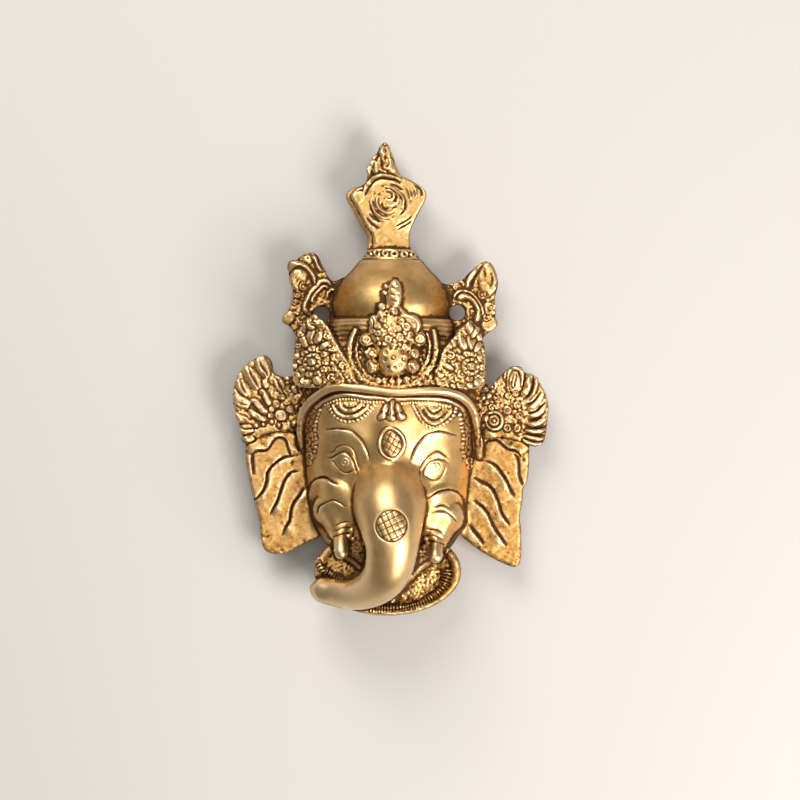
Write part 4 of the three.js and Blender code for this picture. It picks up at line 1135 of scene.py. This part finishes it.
SIDE_RINGS = [
    (-30.9, 11.4, 1.3), (-28.3, 10.9, 1.2), (-33.9, 9.6, 1.3), (-26.2, 9.1, 1.2), (-25.7, 6.2, 1.2),
    (-28.5, 1.4, 1.2), (-26.2, 3.4, 1.2), (-35.3, 6.8, 1.3), (-34.7, 3.6, 1.2), (-32, 1.2, 1.2),
    (30.2, 9.4, 1.2), (32.8, 9.2, 1.2), (35.3, 7.4, 1.2), (36.4, 4.4, 1.1), (27.9, 7.6, 1.2),
    (26.8, 4.8, 1.2), (28.2, 2, 1.6), (31, 0, 1.2), (34.2, 0.6, 1.2),
]
PETALS = [  # x, y, radii across and up, and turn
    (-30.9, 16.4, 1.7, 3.2, 0), (-33.9, 14.6, 1.5, 2.8, 0.4), (-28.2, 16, 1.4, 2.8, -0.4),
    (-31.4, 21.4, 1.4, 2.4, 0.2), (-26, 12.6, 1.1, 2.4, -0.8), (28.7, 13.6, 1.5, 2.8, 0.3),
    (32, 14.4, 1.6, 3.2, 0), (34.5, 12.3, 1.1, 2.4, -0.4), (25.1, 13.8, 1.1, 1.6, 0.6),
    (31.6, 19.6, 1.3, 2.8, 0.2), (33.6, 18.4, 0.9, 3, -0.5), (22.6, 4.6, 1, 2.4, 1),
]
SIDE_CURLS = [  # x, y, radius, start and hand
    (-29.7, 22.6, 2.1, 1, 1), (-24.7, 16.6, 1.6, 2, 1), (-35.4, 17.7, 1.6, 0, -1), (-36.2, 13, 1.6, 1, -1),
    (-37.2, 0.6, 1.5, 2, -1), (-22.6, 11.4, 1.6, 3, 1), (-22, 7.8, 1.4, 1, 1), (-18.9, 4.9, 1.6, 0, 1),
    (-22.6, 4, 1.4, 2, -1), (-23, 0.2, 2, 1, 1), (-33.5, -1.4, 1.7, 2, 1), (-17.4, 0.6, 1.4, 3, -1),
    (-26, -1.4, 1.3, 0, 1), (27.7, 17.6, 1.7, 1, 1), (23.7, 9, 2.1, 2, -1), (35.6, 15.6, 1.2, 0, 1),
    (20.6, 6.4, 1.3, 1, -1), (20, 1.6, 1.5, 2, 1), (24.2, 0.6, 1.7, 0, 1), (36.2, -0.4, 1.6, 1, 1),
    (27.9, -2.6, 1.4, 2, 1), (22.2, -1.6, 1.3, 3, 1),
]
FLOWERS = [(-30.8, 6.2, 3.7), (31.6, 4.6, 3.5)]
SIDE_BEADS = [
    (-28.7, -1, 1.7), (-20.6, -1.6, 1.2), (-37.2, 8.4, 1.3), (-37.8, 4.4, 1.1), (34.2, -1.6, 1.7),
    (31.2, -2.8, 1.2), (25, -3.2, 1.1), (-16, -1.4, 1),
]


def side_crests():
    for crest, seed in ((LEFT_CREST, 51), (RIGHT_CREST, 52)):
        clear(crest)
        rough(crest, 0.6)
        grains(crest, 1.3, 0.75, 0.4, seed)
    lay(ring, SIDE_RINGS, 0.7, 0.4)
    for x, y, across, up, turn in PETALS:
        bead(x, y, across, 1, up, turn, 0.4)
        c, s = up * math.cos(turn), up * math.sin(turn)
        groove([(x + 0.8 * s, y - 0.8 * c), (x, y), (x - 0.6 * s, y + 0.6 * c)], 0.3, 0.35)
    lay(curl, SIDE_CURLS, 0.9, 0.4)
    for x, y, radius in FLOWERS:
        clear(oval((x, y), (radius, radius)))
        bead(x, y, radius, 0.7, lift=0.7, moat=0.5)
        ring(x, y, 1.5, 0.5, 1.2, eye=0.45)
        for turn in np.linspace(0, 2 * math.pi, 10)[:-1]:
            c, s = 0.75 * radius * math.cos(turn), 0.75 * radius * math.sin(turn)
            bead(x + c, y + s, 0.6, 0.4, 0.8, turn, 1, moat=0.25)
    lay(bead, SIDE_BEADS, 1, lift=0.3)


central_crest()
side_crests()

# What hangs from the headband.
# A thinner roll inside the band with a rope of beads under it, two swags with strings of beads, a lily over
# the bridge of the nose, and columns of beads and curls at the temples, each with a tassel.
INNER_BAND = [
    (-33, -30), (-33.2, -21), (-31.4, -14.6), (-27.4, -9.8), (-21.4, -7.2), (-12, -7), (2, -8.4), (16, -8),
    (24.6, -9.6), (29.2, -13.6), (31.4, -21), (32.4, -33),
]
SWAGS = [
    [(-25, -9.6), (-21.8, -14.6), (-17.5, -16.8), (-12.7, -16.4), (-8.8, -13.1), (-6.2, -10)],
    [(8.9, -11.2), (12.2, -16.6), (16.9, -19), (21.7, -17.9), (24.6, -15.2), (26, -12)],
]
SWAG_MIDDLES = [(-15.6, -9), (17.4, -11)]  # what the nested rolls of a swag close in on
LILY_X = 0.5
TEMPLES = [
    [(-27.8, -12.6), (-29.2, -17), (-30, -22), (-29.6, -27), (-30.4, -30.4)],
    [(27.4, -14.6), (28.6, -19), (29.2, -24), (29, -29), (29.6, -32.4)],
]


def beads(line, pitch, radius, height=0.6):
    """A string of beads on a smooth line."""
    length = distances(smooth_line(line, 0.2))[-1]
    for x, y in smooth_line(line, length / max(2, round(length / pitch))):
        bead(x, y, radius, height)


def ornaments():
    for swag, middle in zip(SWAGS, SWAG_MIDDLES):
        clear(swag)
        rough(swag, 0.8)
        grains(swag, 1, 0.55, 0.45, 61)
        beads(swag, 1.55, 0.8, 0.7)
        for share, wide, high in ((0.8, 0.95, 0.9), (0.5, 0.8, 0.7)):
            nested = np.array(middle) + share * (np.array(swag) - middle)
            ridge(nested, wide, high, 0, 0.35)
            groove(beside(nested, wide + 0.25), 0.4, 0.4, 0.3)
    ridge(INNER_BAND, 0.85, 0.9, 0, 0.05)
    beads([(-25.6, -10.4), (-20.4, -8.7), (-12, -8.6), (-3, -9.3)], 1.2, 0.6)
    beads([(4, -9.9), (16, -9.7), (23.6, -11.2)], 1.2, 0.6)
    for line, side in zip(TEMPLES, (-1, 1)):
        beads(line, 1.6, 0.8, 0.8)
        outer = [(x + side * 2.3, y) for x, y in line]
        rough(oval((line[2][0] + side, line[2][1]), (3, 9.6)), 0.7)
        ridge([(x + side * 1.2, y) for x, y in line], 0.4, 0.5)
        for number, (x, y) in enumerate(smooth_line(outer, 2.6)):
            curl(x, y, 1.2, number, side, 0.8)
        x, y = line[-1]
        ring(x + side * 1.6, y - 0.4, 1.7, 0.8, 0)
        ring(x + side * 1.9, y - 3, 1.2, 0.7, 0)
    bead(LILY_X, -12.4, 1.7, 1.9, 3.9)
    for side in (-1, 1):
        bead(LILY_X + side * 2.6, -12.9, 1.3, 1.5, 3.3, side * 0.28)
        bead(LILY_X + side * 3.9, -15, 2, 1.1, 1.3, -side * 0.4)
        groove([(LILY_X + side * over, y) for over, y in ((1.5, -9.6), (1.6, -12.6), (2, -15.6))], 0.4, 0.5)
    bead(LILY_X, -15.6, 2, 1.3, 1.2)


ornaments()
part, gap, _, _ = near([(x, y) for x, y, z in BAND], 1.6)
relief[part] = np.where(gap < 1.5, 0, relief[part])


# The mouth.
# A plain bead along the edge of the upper lip, a row of short teeth inside the rim of the jaw, and the rough
# floor between them.
LIP_EDGE = [
    (-23, -67.4), (-14.9, -73.6), (-9.2, -78.4), (-3.6, -84), (0, -87.4), (2.6, -85.2), (6.2, -82),
    (12.6, -75.7), (17, -73), (20.2, -70.8), (24, -66.6),
]


def teeth(line, pitch, half):
    """Short bars across a line."""
    line = smooth_line(line, pitch)
    for (x, y), (over, up) in zip(line, np.gradient(line, axis=0)):
        bead(x, y, half, 1, 0.4, math.atan2(over, -up), 0.5, moat=0.25)


def bare(outline):
    """Leaves the smooth brass of what stands in front of the relief."""
    clear(outline)
    rough(outline, 0)


def mouth():
    floor = oval(JAW_MIDDLE, (24.6, 14.8), np.linspace(0, 2 * math.pi, 60, endpoint=False))
    floor = floor[floor[:, 1] < -64]
    rough(oval(JAW_MIDDLE, JAW_RADII), 0.6)
    rough(floor, 1)
    grains(floor, 1.3, 0.75, 0.35, 71)
    lip = [(-24, -65), (24, -65), *LIP_EDGE[::-1]]
    clear(lip)
    grains(lip, 1.5, 0.9, 0.25, 72)
    rough(lip, 0.9)
    ridge(LIP_EDGE, 0.8, 0.9, 0.1, 0.03)
    groove(beside(LIP_EDGE, 1.5), 0.7, 0.6, 0.05)
    teeth([(-29.2, -72.6), (-26.8, -76.2), (-22, -79.4), (-17, -81.6), (-12, -82.6)], 1.15, 1.2)
    teeth(oval(JAW_MIDDLE, (24.4, 14.8), np.radians(np.arange(212, 339, 9))), 1.15, 1.3)
    teeth(oval(JAW_MIDDLE, (23.6, 14.4), np.radians(np.arange(342, 364, 4))), 1.35, 2.1)
    for x, y, z, radius in smooth_line(TRUNK, 1):
        if y < -46:  # above that the trunk is one with the face
            bare(oval((x, y), (radius, radius)))
    for x, y, side, length in TUSKS:
        bare(oval((x + side * 0.1, y - 6), (2.5, 5.4)))
        for rise in (-0.6, 1.6, 3.9):
            crease = [(x - side * 4, y + rise + 0.6), (x, y + rise + 0.4), (x + side * 3.6, y + rise - 1)]
            groove(crease, 0.5, 0.5)
    groove(oval(TRUNK_MARK, (6.1, 6.1)), 0.5, 0.6, 0)
    hatched(TRUNK_MARK, (5.9, 5.9), *HATCHES[1])


mouth()


# The relief goes on the casting.
# The map is pulled about a little, because the hand that made it wasn't exact, and pressed into the skin
# where that faces the front. The rough skin of the mould comes with it.
def sampled(field, spots):
    """What a map says at points, read between its cells."""
    last = np.array(field.shape[::-1]) - 2
    fx, fy = ((spots[:, :2] - LOW) / CELL - 0.5).clip((0, 0), last).T
    x, y = fx.astype(int), fy.astype(int)
    u, v = fx - x, fy - y
    low = field[y, x] * (1 - u) + field[y, x + 1] * u
    return low * (1 - v) + (field[y + 1, x] * (1 - u) + field[y + 1, x + 1] * u) * v


def heights():
    """A map of how high the skin stands, and where there is any."""
    seen = normals[:, 2] > -0.1
    column, row = ((places[seen, :2] - LOW) / CELL).astype(int).T
    high = np.full(relief.shape, -1.0)
    np.maximum.at(high, (row, column), places[seen, 2])
    for lone in (1.5, 1.5, 99, 99, 99):  # what only a lower skin fills takes its neighbours' height too
        around = np.max([np.roll(high, step, axis) for step in (-1, 1) for axis in (0, 1)], axis=0)
        high = np.where((high < 0) | (around > high + lone), around, high)
    return high, (high >= 0).astype(float)


def mean_height(spots, breadth):
    """How high the skin stands round points, on the average over a breadth."""
    share = np.maximum(spread(there, breadth), 0.02)
    return sampled(spread(np.where(there > 0, top, 0), breadth) / share, spots)


# The trunk's root and the gums run softly into the face.
SOFTENED = [((0.2, -40), (16, 6)), ((-23, -55), (6, 6)), ((21.5, -57.5), (6, 6))]
top, there = heights()
soft = sum(hill(places[:, 0], places[:, 1], middle, size) for middle, size in SOFTENED)
soft = np.clip(1.8 * soft, 0, 1) * (normals[:, 2] > 0.1)
places[:, 2] += soft * (mean_height(places, 2.4) - places[:, 2])
reshape(casting, places)
normals = vectors(casting, "normals")

random = np.random.default_rng(7)


def cloudy(breadth):
    """An uneven field of spread 1, with clouds of a breadth."""
    field = spread(random.standard_normal(relief.shape), breadth)
    return field / field.std()


uneven, pitted = cloudy(1.1), cloudy(0.4)
grid = np.column_stack([map_x.ravel(), map_y.ravel()])
grid += 0.2 * np.column_stack([cloudy(2.2).ravel(), cloudy(2.2).ravel()])
relief = sampled(relief, grid).reshape(relief.shape) * (1 + 0.12 * uneven)
relief += spread(coarse_map, 0.6) * (0.08 * uneven + 0.12 * pitted) + 0.015 * uneven
facing = np.clip(normals[:, 2] * 1.8 - 0.1, 0, 1)
places += normals * (sampled(spread(relief, 0.15), places) * facing)[:, None]
reshape(casting, places)
normals = vectors(casting, "normals")
top, there = heights()
FACES = 184000  # triangles that are kept, before the back is cut
share = min(1, FACES / (2 * len(casting.data.polygons)))
modify(casting, "DECIMATE", ratio=share, use_collapse_triangulate=True)

# The hollow back.
# The clay core left the head, jaw and crown hollow, about 3.4 mm thick, and the founder sawed the back flat.
WALL = 3.4
wax = []  # from here on the forms are the core's
inner = np.array(HEAD[2:-1], float) - (0, 0, WALL, WALL, 0)
inner[0, 0] += WALL
arches(inner, lambda x, y: x * 0)
drum = [(radius - WALL, y) for radius, y in smooth_line(DRUM + DOME[1:4], 0.8)]
lathe([(0.5, 6), *drum, (13, 43.4), (8, 45.2)])
floor = [(0.86, FLOOR_TOP - 4), (0.75, FLOOR_TOP - 3.4), (0.3, FLOOR_TOP - 3)]
dish([(0.88, -BELOW), *floor], JAW_RADII[0], JAW_RADII[1] - 1)
egg((-0.2, -50, 32), (8.4, 11, 9))  # into the trunk's root
core = piece_of("core", wax)
modify(core, "REMESH", mode="VOXEL", voxel_size=0.9)
modify(core, "SMOOTH", factor=0.5, iterations=3)
modify(core, "DECIMATE", ratio=0.2, use_collapse_triangulate=True)
cut(casting, core)
bpy.ops.object.select_all(action="DESELECT")
bpy.ops.mesh.primitive_cube_add(size=1, location=(0, 0, -10), scale=(200, 300, 20))
cut(casting, bpy.context.object)  # all that stands below the back plane

# The patina, and painted shade and highlight.
# The casting was dipped to darken it and then rubbed, so the dark stays where the cloth doesn't reach. What
# is lower than its surroundings is dark, and what stands proud is bright. Shade is painted on the sides of
# the dome and on the ears, and a highlight on the trunk's tip. The mesh keeps the dark and the bright as
# attributes.
spots, normals = vectors(casting, "points"), vectors(casting, "normals")
x, y, z = spots.T


def ramp(values, low, high):
    """0 below low, 1 above high, and soft between."""
    share = np.clip((values - low) / (high - low), 0, 1)
    return share * share * (3 - 2 * share)


# How far each point lies under the skin round it: in its nearest creases, between forms, and in deep hollows.
fine, middling, broad = (mean_height(spots, breadth) - z for breadth in (0.5, 1.5, 4.5))
detail = sampled(spread(relief, 0.2) - spread(relief, 0.7), spots)
patina_and_shade = ramp(fine, 0.04, 0.4) * 0.75 + ramp(middling, 0.2, 2.6) * 0.2 + ramp(broad, 2, 10) * 0.1
patina_and_shade = np.minimum(patina_and_shade, 0.78)
patina_and_shade += ramp(-detail, 0.03, 0.2) * 0.65 - ramp(detail, 0.05, 0.3) * 0.3
# Patina on the crown, and painted shade that darkens the dome towards its sides, which turn from the light.
off_axis = np.abs(x - CROWN_X)
on_crown = (y > 24.3) & (y < 47.5) & (off_axis < 25)
patina_and_shade += on_crown * (0.08 + 0.55 * ramp(off_axis, 6, 23)) * ramp(42 - z, 0, 3)
outside = np.abs(x) > 34
on_ears, on_fans = outside & (y < -18), outside & (y > -18) & (y < 12)
# Painted shade on the flat ears, which mirror the overhead lamp; the right ear is shaded more.
patina_and_shade += np.where(x > 0, 0.37, 0.31) * on_ears
patina_and_shade *= np.where(on_fans, 0.72, 1)
rim = np.hypot((x - JAW_MIDDLE[0]) / JAW_RADII[0], (y - JAW_MIDDLE[1]) / JAW_RADII[1]) > 0.84
rim = rim * ramp(x, 4, 22) * (x < 30) * (y < -64) * (z < 24)  # the lip's right side
patina_and_shade += 0.3 * rim
wear_and_highlight = ramp(-fine, 0.01, 0.2) * 0.4 + ramp(detail, 0.03, 0.25) * 0.35 + ramp(-middling, 0.1, 1) * 0.2
wear_and_highlight = wear_and_highlight * (1 - 0.8 * rim) + 0.18 * on_fans
# A painted highlight on the trunk's tip and the lip below it.
wear_and_highlight += 0.6 * hill(x, y, (-18, -85), (14, 7)) * (z > 17.6)  # the trunk's tip and the lip below it
wear_and_highlight += 0.16 * hill(x, y, (0, -58), (14, 24)) * (z > 28)  # the trunk
behind = (normals[:, 2] < -0.3) | ((z < 9) & (np.abs(normals[:, 2]) < 0.3))
patina_and_shade = np.where(behind, 0.5, patina_and_shade)
coarse = np.where(behind, 0.9, sampled(spread(coarse_map, 0.5), spots))
for name, values in (("patina_and_shade", patina_and_shade), ("wear_and_highlight", np.where(behind, 0, wear_and_highlight)), ("coarse", coarse)):
    layer = casting.data.attributes.new(name, "FLOAT", "POINT")
    layer.data.foreach_set("value", np.clip(values, 0, 1).astype(np.float32))

reshape(casting, spots * MM)
pick(casting)
bpy.ops.object.shade_smooth_by_angle(angle=math.radians(60))


# The brass.
# Old yellow brass, rubbed to a satin on what stands proud, with brown patina and the grain of the mould in
# the recesses, and the fine scratches of the cloth all over.
class Shade:
    """A socket of the brass, so that its sums read as sums."""

    def __init__(self, tree, socket):
        self.tree, self.socket = tree, socket

    def node(self, kind, settings=None, inputs=None, output=0):
        made = self.tree.nodes.new(kind)
        for name, value in (settings or {}).items():
            setattr(made, name, value)
        for name, value in (inputs or {}).items():
            if isinstance(value, Shade):
                self.tree.links.new(value.socket, made.inputs[name])
            else:
                made.inputs[name].default_value = value
        return Shade(self.tree, made.outputs[output])

    def sum(self, operation, first, second=0):
        return self.node("ShaderNodeMath", {"operation": operation}, {0: first, 1: second})

    def __add__(self, other):
        return self.sum("ADD", self, other)

    def __radd__(self, other):
        return self.sum("ADD", other, self)

    def __sub__(self, other):
        return self.sum("SUBTRACT", self, other)

    def __rsub__(self, other):
        return self.sum("SUBTRACT", other, self)

    def __mul__(self, other):
        return self.sum("MULTIPLY", self, other)

    def __rmul__(self, other):
        return self.sum("MULTIPLY", other, self)

    def within(self, low, high):
        """0 below low, 1 above high, and soft between."""
        settings = {"interpolation_type": "SMOOTHSTEP"}
        return self.node("ShaderNodeMapRange", settings, {"Value": self, "From Min": low, "From Max": high})


def mix_colours(amount, first, second):
    """The first colour where the amount is 0, and the second where it is 1."""
    return amount.node("ShaderNodeMix", {"data_type": "RGBA"}, {0: amount, 6: first, 7: second}, output=2)


brass = bpy.data.materials.new("brass")
brass.use_nodes = True
tree = brass.node_tree
shader = tree.nodes["Principled BSDF"]
start = Shade(tree, None)  # no socket yet, for the nodes that come first
place = start.node("ShaderNodeTexCoord", output=3)


def kept(name):
    """What the mesh keeps of the patina and wear, and of the painted shade and highlight."""
    return start.node("ShaderNodeAttribute", {"attribute_name": name}, output=2)


def noise(scale, detail, roughness, stretch=(1, 1, 1), turn=0.0):
    """Clouds on the metal, and streaks where it is stretched."""
    pulled = {"Vector": place, "Scale": stretch, "Rotation": (0, 0, turn)}
    where = start.node("ShaderNodeMapping", None, pulled)
    values = {"Vector": where, "Scale": scale, "Detail": detail, "Roughness": roughness}
    return start.node("ShaderNodeTexNoise", None, values)


# The patina with painted shade, the wear with a painted highlight, and the rough skin of the mould.
kept_patina_and_shade, kept_wear_and_highlight, gritty = kept("patina_and_shade"), kept("wear_and_highlight"), kept("coarse")
mottle = noise(160, 4, 0.6)
speckle = noise(950, 3, 0.6)
grain = noise(620, 4, 0.65)
scratch = noise(260, 2, 0.6, (1, 14, 1), 0.5) * 0.5 + noise(300, 2, 0.6, (12, 1, 1), 0.2) * 0.5
axes = start.node("ShaderNodeSeparateXYZ", None, {"Vector": place})
place_x, place_y, place_z = (Shade(tree, socket) for socket in axes.socket.node.outputs)


def scribed(middle, radii, pitch, lean, rim):
    """Crossed lines and a rim, scribed thin and filled with dirt, in an oval on the front."""
    x, y = place_x - middle[0] * MM, place_y - middle[1] * MM
    c, s = math.cos(lean), math.sin(lean)
    gaps = [line.sum("PINGPONG", line, pitch * MM / 2) for line in (x * c + y * s, y * c - x * s)]
    nearest = x.sum("MINIMUM", *gaps)
    across, up = x * (1 / (radii[0] * MM)), y * (1 / (radii[1] * MM))
    out = x.sum("SQRT", across * across + up * up)
    hatch = (1 - nearest.within(0.1 * MM, 0.3 * MM)) * (1 - out.within(0.93, 0.97))
    edge = 1 - x.sum("ABSOLUTE", out - rim).within(0.01, 0.05)
    return x.sum("MAXIMUM", hatch, edge) * place_z.within(30 * MM, 31 * MM)


YELLOW, REDDER, DULL = (0.62, 0.39, 0.158, 1), (0.5, 0.3, 0.105, 1), (0.47, 0.27, 0.075, 1)
BRIGHT, BROWN, BLACK = (0.85, 0.68, 0.44, 1), (0.42, 0.2, 0.045, 1), (0.08, 0.035, 0.009, 1)
lines = scribed(BROW_MARK, (4, 5), *HATCHES[0], 1.05)
lines = lines.sum("MAXIMUM", lines, scribed(TRUNK_MARK, (6.1, 6.1), *HATCHES[1], 1.0))
lines = lines * (1 - gritty.within(0.5, 0.8))  # not on the wall of the hollow behind them
# How dark the brass is: patina and painted shade, clouds and specks, less where worn or painted bright.
dirt_and_shade = kept_patina_and_shade + (mottle - 0.5) * 0.4 + (speckle - 0.5) * (0.35 + gritty * 0.8) + gritty * 0.12 - kept_wear_and_highlight * 0.25
dirt_and_shade = dirt_and_shade.sum("MAXIMUM", dirt_and_shade.within(0.1, 0.95), lines * 0.9)
rubbed = mix_colours(mottle.within(0.35, 0.7), YELLOW, REDDER)
rubbed = mix_colours(gritty.within(0.2, 1) * 0.6, rubbed, DULL)
# Paler where it is worn, and where a highlight is painted.
rubbed = mix_colours(kept_wear_and_highlight * (1 - gritty * 0.3), rubbed, BRIGHT)
colour = mix_colours(dirt_and_shade.within(0.0, 0.6), rubbed, BROWN)
colour = mix_colours(dirt_and_shade.within(0.5, 0.95), colour, BLACK)
roughness = 0.34 + scratch * 0.14 + gritty * 0.05 + dirt_and_shade * 0.22 - kept_wear_and_highlight * 0.08
metallic = 1 - dirt_and_shade.within(0.6, 1) * 0.25
height = grain * gritty * 0.9 + speckle * (0.05 + gritty * 0.3) + scratch * 0.14
bump = start.node("ShaderNodeBump", None, {"Height": height, "Distance": 0.0004, "Strength": 0.75})
surface = {"Base Color": colour, "Roughness": roughness, "Metallic": metallic, "Normal": bump}
for name, value in surface.items():
    tree.links.new(value.socket, shader.inputs[name])
casting.data.materials.clear()
casting.data.materials.append(brass)
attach(casting, "root")
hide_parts("mask")
